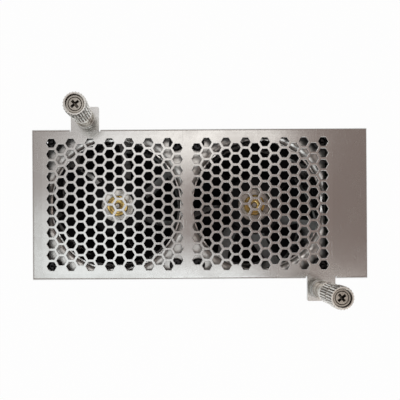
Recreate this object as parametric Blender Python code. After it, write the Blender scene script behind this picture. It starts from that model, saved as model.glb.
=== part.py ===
"""A hot-swap module with two axial fans behind one steel panel punched with two honeycomb grilles.

Metres, +Z up. The module lies on its back: Z is 0 at the rear face and the grilles look up. X and Y are 0
at the middle of the panel. Run it from Blender's text editor or with blender --background --python part.py.
"""

import math

import bmesh
import bpy
from mathutils import Matrix, Vector

# Clearances between pieces
SEAT = 0.0003
SCREW_CLEARANCE = 0.0003
LAP = 0.0003

# Fans
FAN_SIZE = 0.080
FAN_DEPTH = 0.038
FAN_GAP = 0.0044
FAN_SIDE_CLEARANCE = 0.0012
FAN_HOLE_INSET = 0.00425
FAN_FLANGE = 0.004
FAN_CORNER_RADIUS = 0.0036
FAN_WALL = 0.0016
BARREL_INSET = 0.0002
BELL_DEPTH = 0.005
BELL_FLARE = 0.0045
BELL_WALL = 0.0012
STRUT_COUNT = 4
STRUT_WIDTH = 0.0032
STRUT_FOOT_WIDTH = 0.0050
STRUT_DEPTH = 0.0042
BASE_INSET = 0.0010
BASE_RECESS = 0.0003
BASE_THICKNESS = 0.0030
BASE_FLOOR = 0.0010

# Impeller
BLADE_COUNT = 7
TIP_CLEARANCE = 0.0009
HUB_WALL = 0.0018
HUB_SINK = 0.0060
HUB_LIFT = 0.0080
HUB_ROUND = 0.0015
HUB_ROUND_MIDDLE = 0.00045
HUB_RIM = 0.0080
BLADE_THICKNESS = 0.0016
BLADE_INSET = 0.0006
BLADE_SWEEP_ROOT = math.radians(40)
BLADE_SWEEP_TIP = math.radians(48)
BLADE_SKEW = math.radians(10)
BLADE_BOW = 0.35
BLADE_ROOT_SCALE = 1.25
BLADE_TIP_SCALE = 0.7

# Motor
ROTOR_WALL = 0.0010
BUSH_RADIUS = 0.0050
BUSH_LIP = 0.0014
BUSH_HEAD = 0.0012
BUSH_LENGTH = 0.0050
MAGNET_WALL = 0.0018
MAGNET_OVERHANG = 0.0020
AIR_GAP = 0.0006
SHAFT_RADIUS = 0.0015
CLIP_GROOVE = 0.0005
CLIP_RADIUS = 0.0030
CLIP_THICKNESS = 0.0005
BEARING_RADIUS = 0.0040
BEARING_HEIGHT = 0.0030
TUBE_WALL = 0.0009
TUBE_SHOULDER = 0.0011
STATOR_HEADROOM = 0.0081
STATOR_CORE_WALL = 0.0022
TOOTH_COUNT = 4
TOOTH_WIDTH = 0.0040
TOOTH_LENGTH = 0.0031
SHOE_THICKNESS = 0.0014
SHOE_ANGLE = math.radians(70)
STATOR_LIFT = 0.0028
COIL_WALL = 0.0014
COIL_RING = 0.0010
BOARD_INSET = 0.0032
BOARD_MARGIN = 0.0010
BOARD_THICKNESS = 0.0012

# Fan screws
FAN_SCREW_RADIUS = 0.0019
FAN_SCREW_HEAD_RADIUS = 0.0040
FAN_SCREW_RIM = 0.0014
FAN_SCREW_CROWN = 0.0010
FAN_SCREW_SLOPE = 0.0010
TIP_SINK = 0.0003

# Sheet metal
PANEL_SHEET = 0.0010
TRAY_SHEET = 0.0012
GRILLE_GAP = 0.0040
FLANGE_DEPTH = 0.0120
BEND_INSIDE = 0.0005
BEND_STEPS = 2
PANEL_RELIEF = 0.0022
TRAY_RELIEF = 0.0018
LEFT_GAP = 0.00545
BAY_WIDTH = 0.01975
OUTLET_RIM = 0.0003

# Honeycomb
HEX_PITCH = 0.0065
HEX_FLATS = 0.0049

# Ears and captive thumbscrews
EAR_WIDTH = 0.0162
EAR_REACH = 0.0128
EAR_RELIEF = 0.0008
EAR_1_INSET = 0.0311
EAR_2_INSET = 0.0273
FERRULE_FLANGE_RADIUS = 0.00575
FERRULE_FLANGE = 0.0012
FERRULE_RADIUS = 0.0040
FERRULE_SPIGOT_RADIUS = 0.0036
FERRULE_HEIGHT = 0.0080
FERRULE_SHOULDER = 0.0010
THREAD_RADIUS = 0.0020
THREAD_LENGTH = 0.0051
THREAD_STEP = 0.0005
THUMB_TRAVEL = 0.0060
KNOB_WALL = 0.0009
KNOB_BARREL_STEP = 0.0006
KNOB_HEAD_LIP = 0.00045
KNOB_NECK = 0.0016
KNOB_HEAD = 0.0050
KNOB_EDGE = 0.0006
KNOB_SPARE = 0.0006
KNOB_WEB = 0.0011
KNURL_TEETH = 9
KNURL_DEPTH = 0.00035
DRIVE_RIM = 0.00135
DRIVE_SINK = 0.0008
DRIVE_THICKNESS = 0.0025
DRIVE_RECESS_WIDTH = 0.0014
DRIVE_RECESS_LENGTH = 0.0050
DRIVE_RECESS_DEPTH = 0.0014
SPRING_WIRE = 0.0006
SPRING_TURNS = 6
WASHER_THICKNESS = 0.0006

# Screws between flange and tray
COVER_SCREW_RADIUS = 0.00125
COVER_SCREW_CONE = 0.00115
COVER_SCREW_LENGTH = 0.0031
COVER_SCREW_SINK = 0.0001

# Bay beside the fans
STANDOFF_HEIGHT = 0.0057
STANDOFF_RADIUS = 0.0027
STANDOFF_SPIGOT_RADIUS = 0.0019
STANDOFF_INSET = 0.0050
IO_BOARD_SIDE = 0.0024
IO_BOARD_LENGTH = 0.0600
IO_BOARD_THICKNESS = 0.0016
IO_SCREW_RADIUS = 0.0010
IO_SCREW_LIP = 0.0012
IO_SCREW_SLOPE = 0.0004
IO_SCREW_HEAD = 0.0014
IO_SCREW_ROOM = 0.0019
CONNECTOR_SIDE_WALL = 0.0013
CONNECTOR_END_WALL = 0.0038
CONTACT_ROWS = 2
CONTACT_COLUMNS = 4
CONTACT_SIZE = 0.0024
CONTACT_DEPTH = 0.0040
CONTACT_PITCH_X = 0.0040
CONTACT_PITCH_Y = 0.0060
SOCKET_WIDTH = 0.0058
SOCKET_LENGTH = 0.0104
SOCKET_HEIGHT = 0.0060
SOCKET_WALL = 0.0012
SOCKET_ROOM = 0.0100

# Facets round a circle
FINE = 24
HUB_FACETS = 3 * BLADE_COUNT
MEDIUM = 16
SMALL = 10
TINY = 8

# Overshoot of a cutter past the face that it opens
PAST = 0.0010

# Points closer than this are one
WELD = 1e-7

# Heights
FAN_REAR = TRAY_SHEET + SEAT
FAN_FRONT = FAN_REAR + FAN_DEPTH
PANEL_BACK = FAN_FRONT + GRILLE_GAP
PANEL_FRONT = PANEL_BACK + PANEL_SHEET
TRAY_TOP = PANEL_BACK - SEAT

# Plan sizes
SKIN = PANEL_SHEET + LAP + TRAY_SHEET
PANEL_WIDTH = 2 * SKIN + LEFT_GAP + 2 * FAN_SIZE + FAN_GAP + BAY_WIDTH
PANEL_HEIGHT = 2 * SKIN + 2 * FAN_SIDE_CLEARANCE + FAN_SIZE
TRAY_WIDTH = PANEL_WIDTH - 2 * (PANEL_SHEET + LAP)
TRAY_HEIGHT = PANEL_HEIGHT - 2 * (PANEL_SHEET + LAP)
FAN_1_X = -PANEL_WIDTH / 2 + SKIN + LEFT_GAP + FAN_SIZE / 2
FAN_2_X = FAN_1_X + FAN_SIZE + FAN_GAP
BAY_X = FAN_2_X + FAN_SIZE / 2 + BAY_WIDTH / 2
BORE_RADIUS = FAN_SIZE / 2 - FAN_WALL
FAN_HOLE_PITCH = FAN_SIZE - 2 * FAN_HOLE_INSET
PANEL_BEND = PANEL_SHEET + BEND_INSIDE
TRAY_BEND = TRAY_SHEET + BEND_INSIDE
COLUMN_PITCH = HEX_PITCH * math.cos(math.radians(30))
HEX_RADIUS = HEX_FLATS / math.sqrt(3)

# Thumbscrew heights, at rest with the spring holding the knob out
FLANGE_TOP = PANEL_FRONT + SEAT + FERRULE_FLANGE
FERRULE_TOP = FLANGE_TOP + FERRULE_HEIGHT
FERRULE_FOOT = PANEL_BACK + TIP_SINK
THREAD_TIP = PANEL_BACK + TIP_SINK / 3
THREAD_TOP = THREAD_TIP + THREAD_LENGTH
SHOULDER_LOW = THREAD_TOP + SEAT
SHOULDER_TOP = SHOULDER_LOW + FERRULE_SHOULDER
KNOB_FOOT = FLANGE_TOP + SEAT + THUMB_TRAVEL
CAVITY_TOP = FERRULE_TOP + THUMB_TRAVEL + WASHER_THICKNESS + 2 * SEAT + KNOB_SPARE
DRIVE_FOOT = CAVITY_TOP + KNOB_WEB + SEAT
DRIVE_TOP = DRIVE_FOOT + DRIVE_THICKNESS
KNOB_TOP = DRIVE_TOP + DRIVE_SINK
KNOB_HEAD_LOW = KNOB_TOP - KNOB_HEAD
KNOB_BARREL_TOP = KNOB_HEAD_LOW - KNOB_NECK
WASHER_TOP = CAVITY_TOP - SEAT
SPRING_TOP = WASHER_TOP - WASHER_THICKNESS - SEAT
SPRING_FOOT = SHOULDER_TOP + SEAT

# Thumbscrew radii
NECK_RADIUS = THREAD_RADIUS - THREAD_STEP
NECK_BORE = NECK_RADIUS + SCREW_CLEARANCE
SPRING_RADIUS = NECK_BORE + SPRING_WIRE
CAVITY_RADIUS = FERRULE_RADIUS + SCREW_CLEARANCE
KNOB_NECK_RADIUS = CAVITY_RADIUS + KNOB_WALL
KNOB_BARREL_RADIUS = KNOB_NECK_RADIUS + KNOB_BARREL_STEP
KNOB_HEAD_RADIUS = KNOB_BARREL_RADIUS + KNOB_HEAD_LIP
DRIVE_WELL = KNOB_HEAD_RADIUS - DRIVE_RIM
DRIVE_RADIUS = DRIVE_WELL - SCREW_CLEARANCE

# Motor radii, from the shaft outwards
BEARING_BORE = SHAFT_RADIUS + SEAT
CLIP_GROOVE_RADIUS = SHAFT_RADIUS - CLIP_GROOVE
TUBE_BORE = BEARING_RADIUS + SEAT
TUBE_RADIUS = TUBE_BORE + TUBE_WALL
STATOR_BORE = TUBE_RADIUS + SEAT
CORE_RADIUS = STATOR_BORE + STATOR_CORE_WALL
SHOE_RADIUS = CORE_RADIUS + TOOTH_LENGTH
STATOR_RADIUS = SHOE_RADIUS + SHOE_THICKNESS
MAGNET_BORE = STATOR_RADIUS + AIR_GAP
MAGNET_RADIUS = MAGNET_BORE + MAGNET_WALL
ROTOR_BORE = MAGNET_RADIUS + SEAT
ROTOR_RADIUS = ROTOR_BORE + ROTOR_WALL
HUB_BORE = ROTOR_RADIUS + SEAT
HUB_RADIUS = HUB_BORE + HUB_WALL
HUB_WINDOW_RADIUS = HUB_RADIUS - HUB_RIM
BASE_RADIUS = HUB_RADIUS - BASE_INSET
BOARD_RADIUS = BASE_RADIUS - BOARD_INSET
BUSH_HEAD_RADIUS = BUSH_RADIUS + BUSH_LIP

# Motor heights
BASE_REAR = FAN_REAR + BASE_RECESS
BASE_TOP = BASE_REAR + BASE_THICKNESS
BOARD_REAR = BASE_TOP + SEAT
BOARD_TOP = BOARD_REAR + BOARD_THICKNESS
HUB_TOP = FAN_FRONT - HUB_SINK
HUB_REAR = FAN_REAR + HUB_LIFT
HUB_HEIGHT = HUB_TOP - HUB_REAR
ROTOR_TOP = HUB_TOP - HUB_WALL - SEAT
ROTOR_ROOF = ROTOR_TOP - ROTOR_WALL
ROTOR_REAR = HUB_REAR + SEAT
STATOR_REAR = HUB_REAR + STATOR_LIFT
STATOR_TOP = ROTOR_ROOF - STATOR_HEADROOM
MAGNET_REAR = STATOR_REAR - MAGNET_OVERHANG
MAGNET_TOP = STATOR_TOP + MAGNET_OVERHANG
BUSH_SEAT = ROTOR_TOP + SEAT
BUSH_TOP = BUSH_SEAT + BUSH_HEAD
BUSH_REAR = BUSH_SEAT - BUSH_LENGTH
TUBE_REAR = BASE_REAR + BASE_FLOOR + SEAT
TUBE_TOP = BUSH_REAR - SEAT
SHAFT_REAR = TUBE_REAR + SEAT
CLIP_REAR = SHAFT_REAR + 2 * SEAT
CLIP_TOP = CLIP_REAR + CLIP_THICKNESS
REAR_BEARING = CLIP_TOP + SEAT
FRONT_BEARING = TUBE_TOP - BEARING_HEIGHT - SEAT

# Bay sizes
IO_BOARD_WIDTH = BAY_WIDTH - 2 * IO_BOARD_SIDE
STANDOFF_SPACING = IO_BOARD_LENGTH - 2 * STANDOFF_INSET
STANDOFF_BORE = IO_SCREW_RADIUS + SCREW_CLEARANCE
SOCKET_SPACING = STANDOFF_SPACING - 2 * SOCKET_ROOM
CONNECTOR_WIDTH = (CONTACT_ROWS - 1) * CONTACT_PITCH_X + CONTACT_SIZE + 2 * CONNECTOR_SIDE_WALL
CONNECTOR_LENGTH = (CONTACT_COLUMNS - 1) * CONTACT_PITCH_Y + CONTACT_SIZE + 2 * CONNECTOR_END_WALL

# Bay heights
STANDOFF_FOOT = TRAY_SHEET + SEAT
STANDOFF_TOP = STANDOFF_FOOT + STANDOFF_HEIGHT
IO_BOARD_REAR = STANDOFF_TOP + SEAT
IO_BOARD_TOP = IO_BOARD_REAR + IO_BOARD_THICKNESS
CONNECTOR_REAR = TIP_SINK
CONNECTOR_TOP = IO_BOARD_REAR - SEAT


def clear_scene():
    for thing in list(bpy.data.objects):
        bpy.data.objects.remove(thing, do_unlink=True)


def finish(name, colour, metallic, roughness):
    material = bpy.data.materials.new(name)
    material.use_nodes = True
    shader = material.node_tree.nodes["Principled BSDF"]
    shader.inputs["Base Color"].default_value = (*colour, 1.0)
    shader.inputs["Metallic"].default_value = metallic
    shader.inputs["Roughness"].default_value = roughness
    material.diffuse_color = (*colour, 1.0)
    return material


def to_mesh(shape):
    """Closes the seams of a bmesh, turns its faces outwards and hands it over as a mesh."""
    bmesh.ops.remove_doubles(shape, verts=shape.verts, dist=WELD)
    if shape.calc_volume(signed=True) < 0:
        bmesh.ops.reverse_faces(shape, faces=shape.faces)
    mesh = bpy.data.meshes.new("solid")
    shape.to_mesh(mesh)
    shape.free()
    return mesh


def box(low, high, shape=None):
    """A box between two corners, added to a shape where one is given."""
    into = shape or bmesh.new()
    corners = [
        into.verts.new((x, y, z))
        for x in (low[0], high[0])
        for y in (low[1], high[1])
        for z in (low[2], high[2])
    ]
    for face in ((0, 1, 3, 2), (4, 6, 7, 5), (0, 4, 5, 1), (2, 3, 7, 6), (0, 2, 6, 4), (1, 5, 7, 3)):
        into.faces.new([corners[i] for i in face])
    return into


def prism(outline, low, high, shape=None):
    """A flat outline extruded from one height to another."""
    into = shape or bmesh.new()
    floor = [into.verts.new((x, y, low)) for x, y in outline]
    roof = [into.verts.new((x, y, high)) for x, y in outline]
    into.faces.new(list(reversed(floor)))
    into.faces.new(roof)
    for i, start in enumerate(floor):
        j = (i + 1) % len(floor)
        into.faces.new([start, floor[j], roof[j], roof[i]])
    return into


def loft(loops, shape, ends=True):
    """Joins loops of the same number of corners, in order, and caps both ends or closes it on itself."""
    rounds = [[shape.verts.new(point) for point in loop] for loop in loops]
    pairs = list(zip(rounds, rounds[1:]))
    if ends:
        shape.faces.new(list(reversed(rounds[0])))
        shape.faces.new(rounds[-1])
    else:
        pairs.append((rounds[-1], rounds[0]))
    for near, far in pairs:
        for i, corner in enumerate(near):
            j = (i + 1) % len(near)
            shape.faces.new([corner, near[j], far[j], far[i]])
    return shape


def turned(profile, facets, closed=True):
    """A profile of (radius, height) points spun round Z. An open profile starts and ends on the axis."""
    shape = bmesh.new()
    points = [shape.verts.new((radius, 0.0, height)) for radius, height in profile]
    edges = [shape.edges.new(pair) for pair in zip(points, points[1:])]
    if closed:
        edges.append(shape.edges.new((points[-1], points[0])))
    bmesh.ops.spin(
        shape,
        geom=points + edges,
        cent=(0, 0, 0),
        axis=(0, 0, 1),
        angle=math.tau,
        steps=facets,
        use_merge=True,
    )
    return shape


def ring(inner, outer, low, high, facets):
    return turned([(inner, low), (outer, low), (outer, high), (inner, high)], facets)


def rod(radius, low, high, facets, shape=None, x=0.0, y=0.0):
    """A round bar, used both as a piece and as a drill."""
    return prism(circle(radius, facets, x, y), low, high, shape)


def circle(radius, facets, x=0.0, y=0.0, start=0.0):
    steps = (start + math.tau * i / facets for i in range(facets))
    return [(x + radius * math.cos(a), y + radius * math.sin(a)) for a in steps]


def rounded_square(size, radius, corner_steps):
    reach = size / 2 - radius
    outline = []
    for quarter in range(4):
        turn = math.radians(90) * quarter
        middle_x = reach * math.sqrt(2) * math.cos(turn + math.radians(45))
        middle_y = reach * math.sqrt(2) * math.sin(turn + math.radians(45))
        for step in range(corner_steps + 1):
            angle = turn + math.radians(90) * step / corner_steps
            outline.append((middle_x + radius * math.cos(angle), middle_y + radius * math.sin(angle)))
    return outline


def carve(base, *steps):
    """Applies (operation, shape) steps to a shape, in order, with Boolean modifiers."""
    target = bpy.data.objects.new("blank", to_mesh(base))
    bpy.context.scene.collection.objects.link(target)
    tools = []
    for operation, shape in steps:
        tool = bpy.data.objects.new("tool", to_mesh(shape))
        tool.hide_render = True
        tool.display_type = "WIRE"
        bpy.context.scene.collection.objects.link(tool)
        modifier = target.modifiers.new(operation.lower(), "BOOLEAN")
        modifier.operation = operation
        modifier.object = tool
        tools.append(tool)
    graph = bpy.context.evaluated_depsgraph_get()
    carved = bpy.data.meshes.new_from_object(target.evaluated_get(graph))
    for thing in [target, *tools]:
        bpy.data.objects.remove(thing, do_unlink=True)
    shape = bmesh.new()
    shape.from_mesh(carved)
    return shape


def place(name, solid, material, parent=None):
    """Names a finished solid and hangs it on its sub-assembly's empty."""
    mesh = solid if isinstance(solid, bpy.types.Mesh) else to_mesh(solid)
    mesh.shade_smooth()
    mesh.set_sharp_from_angle(angle=math.radians(32))
    if not mesh.materials:
        mesh.materials.append(material)
    thing = bpy.data.objects.new(name, mesh)
    thing.parent = parent
    bpy.context.scene.collection.objects.link(thing)
    return thing


def empty(name, location):
    point = bpy.data.objects.new(name, None)
    point.location = location
    bpy.context.scene.collection.objects.link(point)
    return point


# Sheet metal


def folded_block(width, height, face, open_end, radius):
    """A block whose edges round over towards its face, as sheet does along a fold."""
    levels = [(0.0, open_end)]
    inwards = 1 if face > open_end else -1
    for step in range(BEND_STEPS + 1):
        angle = math.radians(90) * step / BEND_STEPS
        inset = radius * (1 - math.cos(angle))
        levels.append((inset, face - inwards * radius * (1 - math.sin(angle))))
    loops = []
    for inset, level in levels:
        half_x = width / 2 - inset
        half_y = height / 2 - inset
        corners = ((-half_x, -half_y), (half_x, -half_y), (half_x, half_y), (-half_x, half_y))
        loops.append([(x, y, level) for x, y in corners])
    return loft(loops, bmesh.new())


def corner_reliefs(width, height, relief, low, high):
    """The square notches that let the four folds close without meeting."""
    shape = bmesh.new()
    for side_x in (-1, 1):
        for side_y in (-1, 1):
            outer = (side_x * (width / 2 + PAST), side_y * (height / 2 + PAST))
            inner = (side_x * (width / 2 - relief), side_y * (height / 2 - relief))
            xs = sorted((outer[0], inner[0]))
            ys = sorted((outer[1], inner[1]))
            box((xs[0], ys[0], low), (xs[1], ys[1], high), shape)
    return shape


def hole_centres(fan_x, full_first):
    """The places of one grille's holes: neighbouring columns are offset by half a pitch and lose one hole."""
    columns = int((FAN_SIZE - 2 * HEX_RADIUS) / COLUMN_PITCH) + 1
    most = int((FAN_SIZE - HEX_FLATS) / HEX_PITCH) + 1
    for column in range(columns):
        count = most if (column % 2 == 0) == full_first else most - 1
        x = fan_x + (column - (columns - 1) / 2) * COLUMN_PITCH
        for row in range(count):
            yield x, (row - (count - 1) / 2) * HEX_PITCH


def honeycomb_punch():
    shape = bmesh.new()
    for fan_x, full_first in ((FAN_1_X, True), (FAN_2_X, False)):
        for x, y in hole_centres(fan_x, full_first):
            prism(circle(HEX_RADIUS, 6, x, y), PANEL_BACK - PAST, PANEL_FRONT + PAST, shape)
    return shape


def ear_places():
    """Each ear's centre and the side of the panel that it grows from."""
    ear_y = PANEL_HEIGHT / 2 + EAR_REACH / 2
    return (
        (-PANEL_WIDTH / 2 + EAR_1_INSET, ear_y, 1),
        (PANEL_WIDTH / 2 - EAR_2_INSET, -ear_y, -1),
    )


def ear_box(grow, low, high, reach_in, reach_out):
    """One box at each ear, from inside the panel's edge outwards."""
    shape = bmesh.new()
    for x, _, side in ear_places():
        ys = sorted((side * (PANEL_HEIGHT / 2 - reach_in), side * (PANEL_HEIGHT / 2 + reach_out)))
        half = EAR_WIDTH / 2 + grow
        box((x - half, ys[0], low), (x + half, ys[1], high), shape)
    return shape


def front_panel():
    width_in = PANEL_WIDTH - 2 * PANEL_SHEET
    height_in = PANEL_HEIGHT - 2 * PANEL_SHEET
    flange_end = PANEL_FRONT - FLANGE_DEPTH
    outside = folded_block(PANEL_WIDTH, PANEL_HEIGHT, PANEL_FRONT, flange_end, PANEL_BEND)
    inside = folded_block(width_in, height_in, PANEL_BACK, flange_end - PAST, BEND_INSIDE)
    relief_top = PANEL_BACK - PANEL_SHEET
    reliefs = corner_reliefs(PANEL_WIDTH, PANEL_HEIGHT, PANEL_RELIEF, flange_end - PAST, relief_top)
    ear_holes = bmesh.new()
    for x, y, _ in ear_places():
        bore = FERRULE_SPIGOT_RADIUS + SEAT
        rod(bore, PANEL_BACK - PAST, PANEL_FRONT + PAST, SMALL, ear_holes, x, y)
    return carve(
        outside,
        ("DIFFERENCE", inside),
        ("DIFFERENCE", reliefs),
        ("DIFFERENCE", ear_box(EAR_RELIEF, flange_end - PAST, PANEL_FRONT + PAST, PANEL_BEND, PAST)),
        ("UNION", ear_box(0.0, PANEL_BACK, PANEL_FRONT, PANEL_BEND + EAR_RELIEF, EAR_REACH)),
        ("DIFFERENCE", ear_holes),
        ("DIFFERENCE", cover_screw_holes()),
        ("DIFFERENCE", honeycomb_punch()),
    )


def cover_screw_places():
    """Each screw's place on a wall's outer face and the turn that points its head outwards."""
    z = PANEL_FRONT - FLANGE_DEPTH / 2
    between = (FAN_1_X + FAN_2_X) / 2
    top = Matrix.Rotation(math.radians(-90), 4, "X")
    bottom = Matrix.Rotation(math.radians(90), 4, "X")
    right = Matrix.Rotation(math.radians(90), 4, "Y")
    left = Matrix.Rotation(math.radians(-90), 4, "Y")
    return [
        Matrix.Translation((between, PANEL_HEIGHT / 2, z)) @ top,
        Matrix.Translation((between, -PANEL_HEIGHT / 2, z)) @ bottom,
        Matrix.Translation((BAY_X, PANEL_HEIGHT / 2, z)) @ top,
        Matrix.Translation((-PANEL_WIDTH / 2 + EAR_1_INSET, -PANEL_HEIGHT / 2, z)) @ bottom,
        Matrix.Translation((-PANEL_WIDTH / 2, 0, z)) @ left,
        Matrix.Translation((PANEL_WIDTH / 2, 0, z)) @ right,
    ]


def cover_screw():
    return turned(
        [
            (0.0, -COVER_SCREW_LENGTH),
            (COVER_SCREW_RADIUS, -COVER_SCREW_LENGTH),
            (COVER_SCREW_RADIUS, -COVER_SCREW_SINK - COVER_SCREW_CONE),
            (COVER_SCREW_RADIUS + COVER_SCREW_CONE, -COVER_SCREW_SINK),
            (0.0, -COVER_SCREW_SINK),
        ],
        TINY,
        closed=False,
    )


def cover_screw_holes():
    """Countersunk holes through the flange and on through the tray's wall behind it."""
    shape = bmesh.new()
    hole = COVER_SCREW_RADIUS + SCREW_CLEARANCE
    cone = COVER_SCREW_CONE + COVER_SCREW_SINK
    for matrix in cover_screw_places():
        drill = turned(
            [
                (0.0, -SKIN - PAST),
                (hole, -SKIN - PAST),
                (hole, -cone),
                (hole + cone + PAST, PAST),
                (0.0, PAST),
            ],
            TINY,
            closed=False,
        )
        drill.transform(matrix)
        shape.from_mesh(to_mesh(drill))
    return shape


def rear_tray():
    outside = folded_block(TRAY_WIDTH, TRAY_HEIGHT, 0.0, TRAY_TOP, TRAY_BEND)
    width_in = TRAY_WIDTH - 2 * TRAY_SHEET
    height_in = TRAY_HEIGHT - 2 * TRAY_SHEET
    inside = folded_block(width_in, height_in, TRAY_SHEET, TRAY_TOP + PAST, BEND_INSIDE)
    relief_foot = TRAY_BEND + TRAY_SHEET
    outlets = bmesh.new()
    holes = bmesh.new()
    for fan_x in (FAN_1_X, FAN_2_X):
        rod(BORE_RADIUS + OUTLET_RIM, -PAST, TRAY_SHEET + PAST, FINE, outlets, fan_x)
        for x, y in corner_places():
            drill = FAN_SCREW_RADIUS + SCREW_CLEARANCE
            rod(drill, -PAST, TRAY_SHEET + PAST, TINY, holes, fan_x + x, y)
    for y in (-STANDOFF_SPACING / 2, STANDOFF_SPACING / 2):
        rod(STANDOFF_SPIGOT_RADIUS + SEAT, -PAST, TRAY_SHEET + PAST, TINY, holes, BAY_X, y)
    half_x = CONNECTOR_WIDTH / 2 + SEAT
    half_y = CONNECTOR_LENGTH / 2 + SEAT
    box((BAY_X - half_x, -half_y, -PAST), (BAY_X + half_x, half_y, TRAY_SHEET + PAST), holes)
    return carve(
        outside,
        ("DIFFERENCE", inside),
        ("DIFFERENCE", corner_reliefs(TRAY_WIDTH, TRAY_HEIGHT, TRAY_RELIEF, relief_foot, TRAY_TOP + PAST)),
        ("DIFFERENCE", outlets),
        ("DIFFERENCE", holes),
        ("DIFFERENCE", cover_screw_holes()),
    )


# Fans


def corner_places():
    half = FAN_HOLE_PITCH / 2
    return [(half, half), (-half, half), (-half, -half), (half, -half)]


def spider_outline():
    """The motor base and its struts as one outline: arcs of the base with a flared arm between each pair."""
    outline = []
    reach = BORE_RADIUS + FAN_WALL / 2
    arm_turn = math.tau / STRUT_COUNT
    half_angle = math.asin(STRUT_WIDTH / 2 / BASE_RADIUS)
    for arm in range(STRUT_COUNT):
        middle = arm_turn * (arm + 0.5)
        cos_m = math.cos(middle)
        sin_m = math.sin(middle)
        for along, across in (
            (BASE_RADIUS * math.cos(half_angle), -STRUT_WIDTH / 2),
            (reach, -STRUT_FOOT_WIDTH / 2),
            (reach, STRUT_FOOT_WIDTH / 2),
            (BASE_RADIUS * math.cos(half_angle), STRUT_WIDTH / 2),
        ):
            outline.append((along * cos_m - across * sin_m, along * sin_m + across * cos_m))
        arc_steps = FINE // STRUT_COUNT - 2
        start = middle + half_angle
        span = arm_turn - 2 * half_angle
        for step in range(1, arc_steps):
            angle = start + span * step / arc_steps
            outline.append((BASE_RADIUS * math.cos(angle), BASE_RADIUS * math.sin(angle)))
    return outline


def bell_mouth():
    """The flare at the inlet, cut off square where the housing's flat sides leave no room for it."""
    low = FAN_FRONT - BELL_DEPTH
    steps = BEND_STEPS + 1
    profile = [(0.0, low - SEAT), (BORE_RADIUS - SEAT, low - SEAT)]
    for step in range(1, steps + 1):
        angle = math.radians(90) * step / steps
        out = BELL_FLARE * (1 - math.cos(angle))
        profile.append((BORE_RADIUS + out, low + BELL_DEPTH * math.sin(angle)))
    profile += [(BORE_RADIUS + BELL_FLARE, FAN_FRONT + PAST), (0.0, FAN_FRONT + PAST)]
    side = FAN_SIZE / 2 - BELL_WALL
    return carve(
        turned(profile, FINE, closed=False),
        ("INTERSECT", box((-side, -side, low - PAST), (side, side, FAN_FRONT + 2 * PAST))),
    )


def fan_frame():
    square = rounded_square(FAN_SIZE, FAN_CORNER_RADIUS, 2)
    holes = bmesh.new()
    for x, y in corner_places():
        drill = FAN_SCREW_RADIUS + SCREW_CLEARANCE
        rod(drill, FAN_REAR - PAST, FAN_FRONT + PAST, TINY, holes, x, y)
    spider_top = BASE_REAR + STRUT_DEPTH
    barrel = FAN_SIZE / 2 - BARREL_INSET
    flange_mid = FAN_FLANGE / 2
    return carve(
        prism(square, FAN_REAR, FAN_REAR + FAN_FLANGE),
        ("UNION", prism(square, FAN_FRONT - FAN_FLANGE, FAN_FRONT)),
        ("UNION", rod(barrel, FAN_REAR + flange_mid, FAN_FRONT - flange_mid, FINE)),
        ("DIFFERENCE", rod(BORE_RADIUS, FAN_REAR - PAST, FAN_FRONT + PAST, FINE)),
        ("DIFFERENCE", bell_mouth()),
        ("UNION", prism(spider_outline(), BASE_REAR, spider_top)),
        ("DIFFERENCE", rod(BOARD_RADIUS + BOARD_MARGIN, BASE_TOP, spider_top + PAST, MEDIUM)),
        ("DIFFERENCE", rod(TUBE_RADIUS + SEAT, BASE_REAR + BASE_FLOOR, BASE_TOP + PAST, SMALL)),
        ("DIFFERENCE", holes),
    )


def blade_section(radius, sweep, skew, scale):
    """One blade's section where it crosses a cylinder: a bowed line with a thick middle and fine edges."""
    top = HUB_TOP - BLADE_INSET
    drop = HUB_HEIGHT - 2 * BLADE_INSET
    stations = ((0.0, 0.0), (0.3, 1.0), (0.65, 0.8), (1.0, 0.0))
    near = []
    far = []
    for along, fatness in stations:
        bow = BLADE_BOW * along * (1 - along)
        angle = skew + sweep * (along - 0.5 - bow)
        height = top - drop * along
        half = fatness * scale * BLADE_THICKNESS / 2 / radius
        near.append((radius * math.cos(angle - half), radius * math.sin(angle - half), height))
        if fatness:
            far.append((radius * math.cos(angle + half), radius * math.sin(angle + half), height))
    return near + list(reversed(far))


def skin_blade(loops, shape):
    """Skins a blade with the same diagonals on both sides, so that the thin twisted walls never cross."""
    rounds = [[shape.verts.new(point) for point in loop] for loop in loops]
    half = len(rounds[0]) // 2
    for near, far in zip(rounds, rounds[1:]):
        for i, corner in enumerate(near):
            j = (i + 1) % len(near)
            if i < half:
                shape.faces.new([corner, near[j], far[j]])
                shape.faces.new([corner, far[j], far[i]])
            else:
                shape.faces.new([corner, near[j], far[i]])
                shape.faces.new([near[j], far[j], far[i]])
    for rim, outwards in ((rounds[0], False), (rounds[-1], True)):
        for i in range(half):
            across = [rim[i], rim[i + 1], rim[-i - 1], rim[-i]] if i else [rim[0], rim[1], rim[-1]]
            corners = list(dict.fromkeys(across))
            shape.faces.new(corners if outwards else list(reversed(corners)))


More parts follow.
